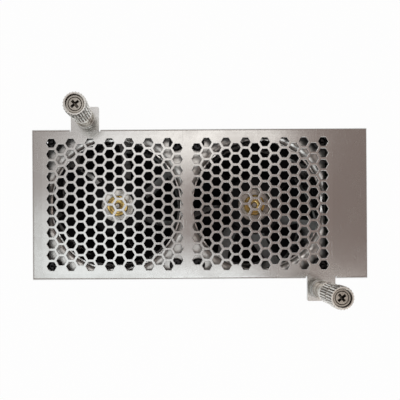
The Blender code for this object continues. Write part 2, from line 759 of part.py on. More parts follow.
def impeller():
    tip = BORE_RADIUS - TIP_CLEARANCE
    root = (HUB_BORE + HUB_RADIUS) / 2
    middle = (root + tip) / 2
    blades = bmesh.new()
    sections = (
        blade_section(root, BLADE_SWEEP_ROOT, 0.0, BLADE_ROOT_SCALE),
        blade_section(middle, (BLADE_SWEEP_ROOT + BLADE_SWEEP_TIP) / 2, BLADE_SKEW / 3, 1.0),
        blade_section(tip, BLADE_SWEEP_TIP, BLADE_SKEW, BLADE_TIP_SCALE),
    )
    for blade in range(BLADE_COUNT):
        turn = Matrix.Rotation(math.tau * blade / BLADE_COUNT, 3, "Z")
        skin_blade([[turn @ Vector(point) for point in section] for section in sections], blades)
    hub = turned(
        [
            (HUB_BORE, HUB_REAR),
            (HUB_RADIUS, HUB_REAR),
            (HUB_RADIUS, HUB_TOP - HUB_ROUND),
            (HUB_RADIUS - HUB_ROUND_MIDDLE, HUB_TOP - HUB_ROUND_MIDDLE),
            (HUB_RADIUS - HUB_ROUND, HUB_TOP),
            (HUB_WINDOW_RADIUS, HUB_TOP),
            (HUB_WINDOW_RADIUS, HUB_TOP - HUB_WALL),
            (HUB_BORE, HUB_TOP - HUB_WALL),
        ],
        HUB_FACETS,
    )
    return carve(hub, ("UNION", blades))


def rotor_cup():
    opening = BUSH_RADIUS + SEAT
    return turned(
        [
            (ROTOR_BORE, ROTOR_REAR),
            (ROTOR_RADIUS, ROTOR_REAR),
            (ROTOR_RADIUS, ROTOR_TOP),
            (opening, ROTOR_TOP),
            (opening, ROTOR_ROOF),
            (ROTOR_BORE, ROTOR_ROOF),
        ],
        MEDIUM,
    )


def shaft_bush():
    return turned(
        [
            (BEARING_BORE, BUSH_REAR),
            (BUSH_RADIUS, BUSH_REAR),
            (BUSH_RADIUS, BUSH_SEAT),
            (BUSH_HEAD_RADIUS, BUSH_SEAT),
            (BUSH_HEAD_RADIUS, BUSH_TOP),
            (BEARING_BORE, BUSH_TOP),
        ],
        SMALL,
    )


def shaft():
    groove_low = CLIP_REAR - SEAT
    groove_high = CLIP_TOP + SEAT
    return turned(
        [
            (0.0, SHAFT_REAR),
            (SHAFT_RADIUS, SHAFT_REAR),
            (SHAFT_RADIUS, groove_low),
            (CLIP_GROOVE_RADIUS, groove_low),
            (CLIP_GROOVE_RADIUS, groove_high),
            (SHAFT_RADIUS, groove_high),
            (SHAFT_RADIUS, BUSH_TOP - SEAT),
            (0.0, BUSH_TOP - SEAT),
        ],
        TINY,
        closed=False,
    )


def bearing(rear):
    return ring(BEARING_BORE, BEARING_RADIUS, rear, rear + BEARING_HEIGHT, SMALL)


def bearing_tube():
    """Open at both ends, with a shoulder inside that keeps the two bearings apart."""
    shoulder = TUBE_BORE - TUBE_SHOULDER
    low = REAR_BEARING + BEARING_HEIGHT + SEAT
    high = FRONT_BEARING - SEAT
    return turned(
        [
            (TUBE_BORE, TUBE_REAR),
            (TUBE_RADIUS, TUBE_REAR),
            (TUBE_RADIUS, TUBE_TOP),
            (TUBE_BORE, TUBE_TOP),
            (TUBE_BORE, high),
            (shoulder, high),
            (shoulder, low),
            (TUBE_BORE, low),
        ],
        SMALL,
    )


def stator_core():
    """Laminated teeth with broad pole shoes, as one outline with the tube's bore through it."""
    outline = []
    half_tooth = TOOTH_WIDTH / 2
    root = math.sqrt(CORE_RADIUS**2 - half_tooth**2)
    for tooth in range(TOOTH_COUNT):
        middle = math.tau * tooth / TOOTH_COUNT
        cos_m = math.cos(middle)
        sin_m = math.sin(middle)
        half_shoe = SHOE_ANGLE / 2
        neck = math.sqrt(SHOE_RADIUS**2 - half_tooth**2)
        points = [(root, -half_tooth), (neck, -half_tooth)]
        points.append((SHOE_RADIUS * math.cos(half_shoe), -SHOE_RADIUS * math.sin(half_shoe)))
        for step in range(4):
            angle = -half_shoe + SHOE_ANGLE * step / 3
            points.append((STATOR_RADIUS * math.cos(angle), STATOR_RADIUS * math.sin(angle)))
        points.append((SHOE_RADIUS * math.cos(half_shoe), SHOE_RADIUS * math.sin(half_shoe)))
        points += [(neck, half_tooth), (root, half_tooth)]
        outline += [(u * cos_m - v * sin_m, u * sin_m + v * cos_m) for u, v in points]
    core = prism(outline, STATOR_REAR, STATOR_TOP)
    return carve(core, ("DIFFERENCE", rod(STATOR_BORE, STATOR_REAR - PAST, STATOR_TOP + PAST, SMALL)))


def winding():
    """A coil round each tooth, joined below the core by the ring that the crossing wires make."""
    inner = CORE_RADIUS + SEAT
    gap = TOOTH_WIDTH / 2 + SEAT
    outer = math.sqrt((SHOE_RADIUS - SEAT) ** 2 - (gap + COIL_WALL) ** 2)
    low = STATOR_REAR - SEAT
    high = STATOR_TOP + SEAT
    coils = bmesh.new()
    slots = bmesh.new()
    for tooth in range(TOOTH_COUNT):
        turn = Matrix.Rotation(math.tau * tooth / TOOTH_COUNT, 4, "Z")
        coil = box((inner, -gap - COIL_WALL, low - COIL_WALL), (outer, gap + COIL_WALL, high + COIL_WALL))
        coil.transform(turn)
        coils.from_mesh(to_mesh(coil))
        slot = box((inner - PAST, -gap, low), (outer + PAST, gap, high))
        slot.transform(turn)
        slots.from_mesh(to_mesh(slot))
    floor = low - COIL_WALL - COIL_RING / 2
    crossing = ring(STATOR_BORE + SEAT, inner + COIL_RING, floor, floor + COIL_RING, 2 * TOOTH_COUNT)
    return carve(coils, ("DIFFERENCE", slots), ("UNION", crossing))


def fan_screw():
    under = FAN_FRONT + SEAT
    rim = under + FAN_SCREW_RIM
    top = rim + FAN_SCREW_CROWN
    return turned(
        [
            (0.0, TIP_SINK),
            (FAN_SCREW_RADIUS, TIP_SINK),
            (FAN_SCREW_RADIUS, under),
            (FAN_SCREW_HEAD_RADIUS, under),
            (FAN_SCREW_HEAD_RADIUS, rim),
            (FAN_SCREW_HEAD_RADIUS - FAN_SCREW_SLOPE, top),
            (0.0, top),
        ],
        TINY,
        closed=False,
    )


def build_fans(finishes):
    """Makes each fan's pieces once and hangs a copy of them on each fan's axis."""
    clip_bore = CLIP_GROOVE_RADIUS + SEAT
    pieces = [
        ("frame", fan_frame(), "cast_aluminium"),
        ("impeller", impeller(), "black_plastic"),
        ("rotor_cup", rotor_cup(), "bright_steel"),
        ("shaft_bush", shaft_bush(), "brass"),
        ("magnet_ring", ring(MAGNET_BORE, MAGNET_RADIUS, MAGNET_REAR, MAGNET_TOP, MEDIUM), "ferrite"),
        ("shaft", shaft(), "bright_steel"),
        ("rear_bearing", bearing(REAR_BEARING), "bright_steel"),
        ("front_bearing", bearing(FRONT_BEARING), "bright_steel"),
        ("bearing_tube", bearing_tube(), "brass"),
        ("stator_core", stator_core(), "dark_steel"),
        ("winding", winding(), "copper"),
        ("motor_board", ring(STATOR_BORE, BOARD_RADIUS, BOARD_REAR, BOARD_TOP, SMALL), "board"),
        ("shaft_clip", ring(clip_bore, CLIP_RADIUS, CLIP_REAR, CLIP_TOP, TINY), "dark_steel"),
    ]
    meshes = [(name, to_mesh(shape), slot) for name, shape, slot in pieces]
    screw = to_mesh(fan_screw())
    for number, fan_x in ((1, FAN_1_X), (2, FAN_2_X)):
        axis = empty(f"fan_{number}_axis", (fan_x, 0, 0))
        for name, mesh, slot in meshes:
            place(f"fan_{number}_{name}", mesh, finishes[slot], axis)
        for corner, (x, y) in enumerate(corner_places(), start=1):
            piece = place(f"fan_{number}_screw_{corner}", screw, finishes["black_steel"], axis)
            piece.location = (x, y, 0)


# Captive thumbscrews


def ferrule():
    guide = THREAD_RADIUS + SCREW_CLEARANCE
    pocket = SPRING_RADIUS + SCREW_CLEARANCE + SPRING_WIRE / 2
    return turned(
        [
            (guide, FERRULE_FOOT),
            (FERRULE_SPIGOT_RADIUS, FERRULE_FOOT),
            (FERRULE_SPIGOT_RADIUS, PANEL_FRONT + SEAT),
            (FERRULE_FLANGE_RADIUS, PANEL_FRONT + SEAT),
            (FERRULE_FLANGE_RADIUS, FLANGE_TOP),
            (FERRULE_RADIUS, FLANGE_TOP),
            (FERRULE_RADIUS, FERRULE_TOP),
            (pocket, FERRULE_TOP),
            (pocket, SHOULDER_TOP),
            (NECK_BORE, SHOULDER_TOP),
            (NECK_BORE, SHOULDER_LOW),
            (guide, SHOULDER_LOW),
        ],
        SMALL,
    )


def coil_spring():
    """A round wire swept along a helix."""
    sides = 4
    steps_per_turn = 7
    steps = SPRING_TURNS * steps_per_turn
    rise = SPRING_TOP - SPRING_FOOT - SPRING_WIRE
    loops = []
    for step in range(steps + 1):
        angle = math.tau * step / steps_per_turn
        height = SPRING_FOOT + SPRING_WIRE / 2 + rise * step / steps
        loop = []
        for side in range(sides):
            round_wire = math.tau * side / sides
            radius = SPRING_RADIUS + SPRING_WIRE / 2 * math.cos(round_wire)
            z = height + SPRING_WIRE / 2 * math.sin(round_wire)
            loop.append((radius * math.cos(angle), radius * math.sin(angle), z))
        loops.append(loop)
    return loft(loops, bmesh.new())


def knob():
    """A hollow knob with a straight-knurled barrel and head, made from rings of points at each height."""
    web_top = CAVITY_TOP + KNOB_WEB
    levels = [
        (CAVITY_RADIUS, KNOB_FOOT, False),
        (KNOB_BARREL_RADIUS - KNOB_EDGE, KNOB_FOOT, False),
        (KNOB_BARREL_RADIUS, KNOB_FOOT + KNOB_EDGE, True),
        (KNOB_BARREL_RADIUS, KNOB_BARREL_TOP, True),
        (KNOB_NECK_RADIUS, KNOB_BARREL_TOP, False),
        (KNOB_NECK_RADIUS, KNOB_HEAD_LOW, False),
        (KNOB_HEAD_RADIUS, KNOB_HEAD_LOW, True),
        (KNOB_HEAD_RADIUS, KNOB_TOP - KNOB_EDGE, True),
        (KNOB_HEAD_RADIUS - KNOB_EDGE, KNOB_TOP, False),
        (DRIVE_WELL, KNOB_TOP, False),
        (DRIVE_WELL, web_top, False),
        (NECK_BORE, web_top, False),
        (NECK_BORE, CAVITY_TOP, False),
        (CAVITY_RADIUS, CAVITY_TOP, False),
    ]
    points = 2 * KNURL_TEETH
    loops = []
    for radius, height, knurled in levels:
        loop = []
        for i in range(points):
            reach = radius - KNURL_DEPTH if knurled and i % 2 else radius
            angle = math.tau * i / points
            loop.append((reach * math.cos(angle), reach * math.sin(angle), height))
        loops.append(loop)
    return loft(loops, bmesh.new(), ends=False)


def thumb_screw():
    """The captive screw: drive disc with a cross recess, thin neck and a threaded end left plain here."""
    body = turned(
        [
            (0.0, THREAD_TIP),
            (NECK_RADIUS, THREAD_TIP),
            (THREAD_RADIUS, THREAD_TIP + THREAD_STEP),
            (THREAD_RADIUS, THREAD_TOP),
            (NECK_RADIUS, THREAD_TOP),
            (NECK_RADIUS, DRIVE_FOOT),
            (DRIVE_RADIUS, DRIVE_FOOT),
            (DRIVE_RADIUS, DRIVE_TOP),
            (0.0, DRIVE_TOP),
        ],
        SMALL,
        closed=False,
    )
    half_long = DRIVE_RECESS_LENGTH / 2
    half_wide = DRIVE_RECESS_WIDTH / 2
    floor = DRIVE_TOP - DRIVE_RECESS_DEPTH
    cross = [
        (half_long, -half_wide), (half_long, half_wide), (half_wide, half_wide), (half_wide, half_long),
        (-half_wide, half_long), (-half_wide, half_wide), (-half_long, half_wide), (-half_long, -half_wide),
        (-half_wide, -half_wide), (-half_wide, -half_long), (half_wide, -half_long), (half_wide, -half_wide),
    ]
    return carve(body, ("DIFFERENCE", prism(cross, floor, DRIVE_TOP + PAST)))


def build_thumbscrews(finishes):
    washer_radius = CAVITY_RADIUS - SCREW_CLEARANCE
    washer_low = WASHER_TOP - WASHER_THICKNESS
    meshes = [
        ("ferrule", to_mesh(ferrule()), "bright_steel"),
        ("spring", to_mesh(coil_spring()), "bright_steel"),
        ("washer", to_mesh(ring(NECK_BORE, washer_radius, washer_low, WASHER_TOP, SMALL)), "bright_steel"),
        ("knob", to_mesh(knob()), "bright_steel"),
        ("screw", to_mesh(thumb_screw()), "bright_steel"),
    ]
    for number, (x, y, _) in enumerate(ear_places(), start=1):
        axis = empty(f"thumbscrew_{number}_axis", (x, y, 0))
        for name, mesh, slot in meshes:
            place(f"thumbscrew_{number}_{name}", mesh, finishes[slot], axis)


# Bay beside the fans


def standoff():
    corner_radius = STANDOFF_RADIUS / math.cos(math.radians(30))
    return carve(
        prism(circle(corner_radius, 6), STANDOFF_FOOT, STANDOFF_TOP),
        ("UNION", rod(STANDOFF_SPIGOT_RADIUS, TIP_SINK, STANDOFF_FOOT + PAST, TINY)),
        ("DIFFERENCE", rod(STANDOFF_BORE, STANDOFF_FOOT, STANDOFF_TOP + PAST, TINY)),
    )


def board_screw():
    under = IO_BOARD_TOP + SEAT
    top = under + IO_SCREW_HEAD
    tip = STANDOFF_FOOT + IO_SCREW_ROOM
    head = STANDOFF_BORE + IO_SCREW_LIP
    return turned(
        [
            (0.0, tip),
            (IO_SCREW_RADIUS, tip),
            (IO_SCREW_RADIUS, under),
            (head, under),
            (head - IO_SCREW_SLOPE, top),
            (0.0, top),
        ],
        TINY,
        closed=False,
    )


def interface_board():
    half_x = IO_BOARD_WIDTH / 2
    half_y = IO_BOARD_LENGTH / 2
    holes = bmesh.new()
    for y in (-STANDOFF_SPACING / 2, STANDOFF_SPACING / 2):
        rod(STANDOFF_BORE, IO_BOARD_REAR - PAST, IO_BOARD_TOP + PAST, TINY, holes, 0.0, y)
    board = box((-half_x, -half_y, IO_BOARD_REAR), (half_x, half_y, IO_BOARD_TOP))
    return carve(board, ("DIFFERENCE", holes))


def rear_connector():
    """A blind-mating block whose contact cavities open through the tray's rear face."""
    half_x = CONNECTOR_WIDTH / 2
    half_y = CONNECTOR_LENGTH / 2
    cavities = bmesh.new()
    half = CONTACT_SIZE / 2
    for row in range(CONTACT_ROWS):
        x = (row - (CONTACT_ROWS - 1) / 2) * CONTACT_PITCH_X
        for column in range(CONTACT_COLUMNS):
            y = (column - (CONTACT_COLUMNS - 1) / 2) * CONTACT_PITCH_Y
            floor = CONNECTOR_REAR + CONTACT_DEPTH
            box((x - half, y - half, CONNECTOR_REAR - PAST), (x + half, y + half, floor), cavities)
    block = box((-half_x, -half_y, CONNECTOR_REAR), (half_x, half_y, CONNECTOR_TOP))
    return carve(block, ("DIFFERENCE", cavities))


def lead_socket():
    low = IO_BOARD_TOP + SEAT
    half_x = SOCKET_WIDTH / 2
    half_y = SOCKET_LENGTH / 2
    block = box((-half_x, -half_y, low), (half_x, half_y, low + SOCKET_HEIGHT))
    inner_x = half_x - SOCKET_WALL
    inner_y = half_y - SOCKET_WALL
    well = box((-inner_x, -inner_y, low + SOCKET_WALL), (inner_x, inner_y, low + SOCKET_HEIGHT + PAST))
    return carve(block, ("DIFFERENCE", well))


def build_bay(finishes):
    bay = empty("bay", (BAY_X, 0, 0))
    place("interface_board", interface_board(), finishes["board"], bay)
    place("rear_connector", rear_connector(), finishes["black_plastic"], bay)
    post = to_mesh(standoff())
    screw = to_mesh(board_screw())
    socket = to_mesh(lead_socket())
    for number, side in ((1, -1), (2, 1)):
        y = side * STANDOFF_SPACING / 2
        place(f"board_standoff_{number}", post, finishes["bright_steel"], bay).location = (0, y, 0)
        place(f"board_screw_{number}", screw, finishes["bright_steel"], bay).location = (0, y, 0)
        y = side * SOCKET_SPACING / 2
        place(f"fan_socket_{number}", socket, finishes["white_plastic"], bay).location = (0, y, 0)


def build_case(finishes):
    place("front_panel", front_panel(), finishes["satin_steel"])
    place("rear_tray", rear_tray(), finishes["satin_steel"])
    screw = to_mesh(cover_screw())
    for number, matrix in enumerate(cover_screw_places(), start=1):
        piece = place(f"cover_screw_{number}", screw, finishes["bright_steel"])
        piece.matrix_world = matrix


def make_finishes():
    return {
        "satin_steel": finish("satin_steel", (0.45, 0.45, 0.44), 1.0, 0.38),
        "bright_steel": finish("bright_steel", (0.66, 0.65, 0.63), 1.0, 0.25),
        "dark_steel": finish("dark_steel", (0.18, 0.18, 0.19), 1.0, 0.45),
        "black_steel": finish("black_steel", (0.03, 0.03, 0.03), 0.9, 0.40),
        "cast_aluminium": finish("cast_aluminium", (0.55, 0.55, 0.54), 1.0, 0.48),
        "brass": finish("brass", (0.72, 0.52, 0.20), 1.0, 0.30),
        "copper": finish("copper", (0.62, 0.27, 0.12), 1.0, 0.35),
        "ferrite": finish("ferrite", (0.05, 0.05, 0.05), 0.2, 0.70),
        "black_plastic": finish("black_plastic", (0.018, 0.018, 0.019), 0.0, 0.45),
        "white_plastic": finish("white_plastic", (0.75, 0.74, 0.70), 0.0, 0.45),
        "board": finish("board", (0.03, 0.17, 0.07), 0.0, 0.40),
    }


def main():
    clear_scene()
    finishes = make_finishes()
    build_case(finishes)
    build_fans(finishes)
    build_thumbscrews(finishes)
    build_bay(finishes)


main()
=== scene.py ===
"""The looks of a two-fan cooling module.

Folded sheet metal, two fans, two captive thumbscrews, and the studio round them.
"""

import logging
import math
from collections.abc import Callable, Iterable
from dataclasses import dataclass, field, replace
from enum import Enum
from typing import Any, Optional, Union

import bmesh
import bpy
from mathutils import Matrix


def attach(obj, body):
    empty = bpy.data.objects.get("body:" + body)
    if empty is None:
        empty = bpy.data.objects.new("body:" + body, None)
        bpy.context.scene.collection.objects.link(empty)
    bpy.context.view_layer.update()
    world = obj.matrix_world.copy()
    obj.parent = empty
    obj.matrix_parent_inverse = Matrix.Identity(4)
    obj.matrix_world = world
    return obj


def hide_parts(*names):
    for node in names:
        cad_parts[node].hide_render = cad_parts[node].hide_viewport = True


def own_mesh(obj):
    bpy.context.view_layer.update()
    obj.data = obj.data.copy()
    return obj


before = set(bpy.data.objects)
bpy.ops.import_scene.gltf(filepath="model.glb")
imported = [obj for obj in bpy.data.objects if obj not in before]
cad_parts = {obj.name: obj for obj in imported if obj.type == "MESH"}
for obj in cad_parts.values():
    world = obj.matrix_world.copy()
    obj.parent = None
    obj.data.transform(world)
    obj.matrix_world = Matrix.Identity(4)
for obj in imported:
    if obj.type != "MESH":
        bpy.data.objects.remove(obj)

Point = tuple[float, float]
Place = tuple[float, float, float]
Colour = tuple[float, float, float]
Piece = bpy.types.Object

MM = 0.001
FULL_TURN = math.tau
QUARTER_TURN = math.tau / 4
SLACK = 1e-5
FAN_AXES = (-49.35 * MM, 35.05 * MM)
EARS = ((-66.2 * MM, 50.1 * MM), (70.0 * MM, -50.1 * MM))

log = logging.getLogger("fan_module")


class Part(Enum):
    """What a selection test looks at."""

    CORNERS = "VERT"
    EDGES = "EDGE"
    FACES = "FACE"


class Cut(Enum):
    """How one solid acts on another."""

    AWAY = "DIFFERENCE"
    WITH = "UNION"
    WITHIN = "INTERSECT"


def runs_along(edge: bmesh.types.BMEdge, axis: int) -> bool:
    """Whether an edge has any length along an axis, 0 for X to 2 for Z."""
    return abs(edge.verts[0].co[axis] - edge.verts[1].co[axis]) > SLACK


class Bench:
    """Blender's modelling operators, each started from a clean selection."""

    @staticmethod
    def rest() -> None:
        """Leaves edit mode and deselects everything."""
        active = bpy.context.view_layer.objects.active
        if active and active.mode != "OBJECT":
            bpy.ops.object.mode_set(mode="OBJECT")
        for thing in list(bpy.context.selected_objects):
            thing.select_set(False)

    @staticmethod
    def take(piece: Piece) -> None:
        """Makes a piece the only selected one.

        Args:
            piece: The piece to work on.
        """
        Bench.rest()
        bpy.context.view_layer.objects.active = piece
        piece.select_set(True)

    @staticmethod
    def settle(name: str) -> Piece:
        """Names the primitive that was just added and puts its place into its mesh.

        Args:
            name: The piece's name.

        Returns:
            The piece, with its object at the origin.
        """
        piece = bpy.context.view_layer.objects.active
        piece.name = name
        piece.data.name = name
        bpy.ops.object.transform_apply(location=True, rotation=True, scale=True)
        return piece

    @staticmethod
    def edit(piece: Piece) -> None:
        """Opens a piece in edit mode with everything selected.

        Args:
            piece: The piece to open.
        """
        Bench.take(piece)
        bpy.ops.object.mode_set(mode="EDIT")
        bpy.ops.mesh.select_mode(type="VERT")
        bpy.ops.mesh.select_all(action="SELECT")

    @staticmethod
    def pick(piece: Piece, part: Part, wanted: Callable[[Any], bool]) -> None:
        """Selects the corners, edges or faces that pass a test.

        Args:
            piece: A piece that is open in edit mode.
            part: What to test.
            wanted: The test.
        """
        bpy.ops.mesh.select_mode(type=part.value)
        bpy.ops.mesh.select_all(action="DESELECT")
        shape = bmesh.from_edit_mesh(piece.data)
        for item in getattr(shape, f"{part.value.lower()}s"):
            if wanted(item):
                item.select_set(True)
        shape.select_flush_mode()
        bmesh.update_edit_mesh(piece.data)

    @staticmethod
    def block(name: str, low: Place, high: Place) -> Piece:
        """Adds a rectangular block between two corners.

        Args:
            name: The piece's name.
            low: Its lowest corner.
            high: Its highest corner.

        Returns:
            The block.
        """
        Bench.rest()
        middle = [(a + b) / 2 for a, b in zip(low, high)]
        size = [b - a for a, b in zip(low, high)]
        bpy.ops.mesh.primitive_cube_add(size=1.0, location=middle, scale=size)
        return Bench.settle(name)

    @staticmethod
    def rod(
        name: str, radius: float, facets: int, middle: Place, length: float, turn: float = 0.0
    ) -> Piece:
        """Adds a rod that stands upright.

        Args:
            name: The piece's name.
            radius: Radius at its corners.
            facets: How many sides it has.
            middle: Its middle.
            length: Its length.
            turn: How far it is turned about its axis.

        Returns:
            The rod.
        """
        Bench.rest()
        bpy.ops.mesh.primitive_cylinder_add(
            vertices=facets, radius=radius, depth=length, location=middle, rotation=(0, 0, turn)
        )
        return Bench.settle(name)

    @staticmethod
    def turned(name: str, profile: list[Point], facets: int, solid: bool = True) -> Piece:
        """Raises a ring through the points of a profile, as a lathe would leave it.

        Args:
            name: The piece's name.
            profile: Its (radius, height) points. A solid's ends are capped, and a tube's ends meet.
            facets: Facets round the piece.
            solid: Whether the piece is solid at the axis.

        Returns:
            The turned piece, round the Z axis.
        """
        Bench.rest()
        radius, height = profile[0]
        fill = "NGON" if solid else "NOTHING"
        bpy.ops.mesh.primitive_circle_add(
            vertices=facets, radius=radius, fill_type=fill, location=(0, 0, height)
        )
        piece = Bench.settle(name)
        Bench.edit(piece)
        for next_radius, next_height in profile[1:] + ([] if solid else profile[:1]):
            rise = (0, 0, next_height - height)
            bpy.ops.mesh.extrude_region_move(TRANSFORM_OT_translate={"value": rise})
            scale = next_radius / radius
            centre = (0, 0, next_height)
            bpy.ops.transform.resize(value=(scale, scale, 1), center_override=centre)
            radius, height = next_radius, next_height
        bpy.ops.mesh.select_all(action="SELECT")
        bpy.ops.mesh.remove_doubles(threshold=1e-7)
        bpy.ops.mesh.normals_make_consistent(inside=False)
        Bench.rest()
        return piece

    @staticmethod
    def helix(
        name: str, section: list[Point], foot: float, rise: float, turns: float, steps: int = 28
    ) -> Piece:
        """Winds a closed section round the Z axis and closes both of its ends.

        Args:
            name: The piece's name.
            section: The section's (radius, height) points, with heights from the wire's middle.
            foot: Height of the wire's middle where it starts.
            rise: How far it climbs altogether.
            turns: How many times it goes round.
            steps: Steps in each turn.

        Returns:
            The winding.
        """
        Bench.rest()
        bpy.ops.mesh.primitive_circle_add(vertices=len(section), radius=1.0)
        piece = Bench.settle(name)
        for corner, (radius, height) in zip(piece.data.vertices, section):
            corner.co = (radius, 0.0, foot + height)
        wind = piece.modifiers.new("wind", "SCREW")
        wind.axis = "Z"
        wind.angle = FULL_TURN * turns
        wind.screw_offset = rise
        wind.iterations = 1
        wind.steps = wind.render_steps = round(steps * turns)
        wind.use_merge_vertices = False
        Bench.apply(piece)
        Bench.edit(piece)
        bpy.ops.mesh.select_mode(type="EDGE")
        bpy.ops.mesh.select_all(action="DESELECT")
        bpy.ops.mesh.select_non_manifold()
        bpy.ops.mesh.fill()
        bpy.ops.mesh.select_all(action="SELECT")
        bpy.ops.mesh.normals_make_consistent(inside=False)
        Bench.rest()
        return piece

    @staticmethod
    def apply(piece: Piece) -> None:
        """Applies every modifier of a piece, in order.

        Args:
            piece: The piece.
        """
        Bench.take(piece)
        for modifier in list(piece.modifiers):
            bpy.ops.object.modifier_apply(modifier=modifier.name)

    @staticmethod
    def carve(piece: Piece, how: Cut, tool: Piece) -> None:
        """Cuts or joins one solid with another, which is used up.

        Args:
            piece: The solid that changes.
            how: What the tool does to it.
            tool: The other solid.
        """
        boolean = piece.modifiers.new(how.name, "BOOLEAN")
        boolean.operation = how.value
        boolean.solver = "EXACT"
        boolean.object = tool
        Bench.apply(piece)
        if not len(piece.data.polygons):
            raise RuntimeError(f"{piece.name} vanished when cut by {tool.name}")
        Bench.drop(tool)

    @staticmethod
    def merge(piece: Piece, sliver: float = 2e-6) -> None:
        """Merges the slivers and the split flat faces that cutting and joining leave behind.

        Args:
            piece: The piece.
            sliver: Edges shorter than this are merged.
        """
        Bench.edit(piece)
        bpy.ops.mesh.remove_doubles(threshold=sliver)
        bpy.ops.mesh.dissolve_degenerate(threshold=sliver)
        bpy.ops.mesh.select_all(action="SELECT")
        bpy.ops.mesh.dissolve_limited(angle_limit=math.radians(0.5))
        Bench.rest()

    @staticmethod
    def soften(piece: Piece, width: float, rounds: int = 2, angle: float = 50.0) -> None:
        """Breaks the sharp edges of a piece.

        Args:
            piece: The piece.
            width: Width of the broken edge.
            rounds: Facets across it.
            angle: Edges sharper than this many degrees are broken.
        """
        bevel = piece.modifiers.new("edge", "BEVEL")
        bevel.width = width
        bevel.segments = rounds
        bevel.limit_method = "ANGLE"
        bevel.angle_limit = math.radians(angle)
        Bench.apply(piece)

    @staticmethod
    def repeat(piece: Piece, count: int, step: Place) -> None:
        """Repeats a piece in a row, inside its own mesh.

        Args:
            piece: The piece.
            count: How many there are altogether.
            step: The way from one to the next.
        """
        row = piece.modifiers.new("row", "ARRAY")
        row.count = count
        row.use_relative_offset = False
        row.use_constant_offset = True
        row.constant_offset_displace = step
        Bench.apply(piece)

    @staticmethod
    def copy(piece: Piece, name: str, move: Place = (0, 0, 0), turn: Place = (0, 0, 0)) -> Piece:
        """Copies a piece with its own mesh and puts it somewhere else.

        Args:
            piece: The piece to copy.
            name: The copy's name.
            move: The way from the piece to its copy.
            turn: How far the copy is turned about X, Y and Z.

        Returns:
            The copy, with its object at the origin.
        """
        again = piece.copy()
        again.data = piece.data.copy()
        bpy.context.scene.collection.objects.link(again)
        Bench.take(again)
        again.location = move
        again.rotation_euler = turn
        return Bench.settle(name)

    @staticmethod
    def join(pieces: list[Piece]) -> Piece:
        """Joins pieces into the first of them.

        Args:
            pieces: The pieces.

        Returns:
            The first piece.
        """
        Bench.take(pieces[0])
        for piece in pieces[1:]:
            piece.select_set(True)
        bpy.ops.object.join()
        return pieces[0]

    @staticmethod
    def smooth(piece: Piece, angle: float = 32.0, weighted: bool = True) -> None:
        """Shades a piece smooth between its sharp edges.

        Args:
            piece: The piece.
            angle: Edges sharper than this many degrees stay sharp.
            weighted: Whether broad faces keep their own direction.
        """
        Bench.take(piece)
        bpy.ops.object.shade_smooth_by_angle(angle=math.radians(angle))
        if weighted:
            weigh = piece.modifiers.new("weigh", "WEIGHTED_NORMAL")
            weigh.keep_sharp = True
            weigh.weight = 100
            Bench.apply(piece)

    @staticmethod
    def drop(*pieces: Piece) -> None:
        """Removes pieces that were only patterns for others.

        Args:
            pieces: The pieces.
        """
        for piece in pieces:
            bpy.data.objects.remove(piece, do_unlink=True)

    @staticmethod
    def swing(angle: float) -> None:
        """Turns what is selected in edit mode about the Z axis, counter-clockwise from above."""
        bpy.ops.transform.rotate(value=-angle, orient_axis="Z", center_override=(0, 0, 0))

    @staticmethod
    def cross_recess(
        piece: Piece, length: float, width: float, top: float, depth: float, taper: float = 0.55
    ) -> None:
        """Cuts a tapered cross for a screwdriver into a head that faces up.

        Args:
            piece: The screw.
            length: Length of each slot at the face.
            width: Width of each slot at the face.
            top: Height of the face.
            depth: Depth of the recess.
            taper: How wide each slot is at its floor, as a share of its width at the face.
        """
        for quarter in range(2):
            half_x, half_y = (length / 2, width / 2) if quarter else (width / 2, length / 2)
            floor, roof = top - depth, top + depth
            slot = Bench.block("slot", (-half_x, -half_y, floor), (half_x, half_y, roof))
            Bench.edit(slot)
            Bench.pick(slot, Part.CORNERS, lambda corner: corner.co.z < top)
            bpy.ops.transform.resize(value=(taper, taper, 1), center_override=(0, 0, floor))
            Bench.pick(slot, Part.CORNERS, lambda corner: corner.co.z > top)
            wide = 2 - taper
            bpy.ops.transform.resize(value=(wide, wide, 1), center_override=(0, 0, roof))
            Bench.rest()
            Bench.carve(piece, Cut.AWAY, slot)

    @staticmethod
    def folded_pan(
        name: str, low: Place, high: Place, opens_up: bool, bend: float, sheet: float
    ) -> Piece:
        """Folds a pan of sheet metal out of a block, with a round bend at each side.

        Args:
            name: The piece's name.
            low: Lowest outer corner.
            high: Highest outer corner.
            opens_up: Whether the pan is open at its top.
            bend: Outer radius of the bends.
            sheet: Thickness of the sheet.

        Returns:
            The pan, with its corners still closed.
        """
        pan = Bench.block(name, low, high)
        mouth, face = (high[2], low[2]) if opens_up else (low[2], high[2])
        Bench.edit(pan)
        Bench.pick(
            pan, Part.FACES, lambda side: abs(side.calc_center_median().z - mouth) < SLACK
        )
        bpy.ops.mesh.delete(type="FACE")
        Bench.pick(
            pan, Part.EDGES, lambda edge: all(abs(end.co.z - face) < SLACK for end in edge.verts)
        )
        bpy.ops.mesh.bevel(offset=bend, segments=8, affect="EDGES", offset_type="OFFSET")
        Bench.rest()
        wall = pan.modifiers.new("wall", "SOLIDIFY")
        wall.thickness = sheet
        wall.offset = -1.0
        wall.use_even_offset = True
        Bench.apply(pan)
        return pan


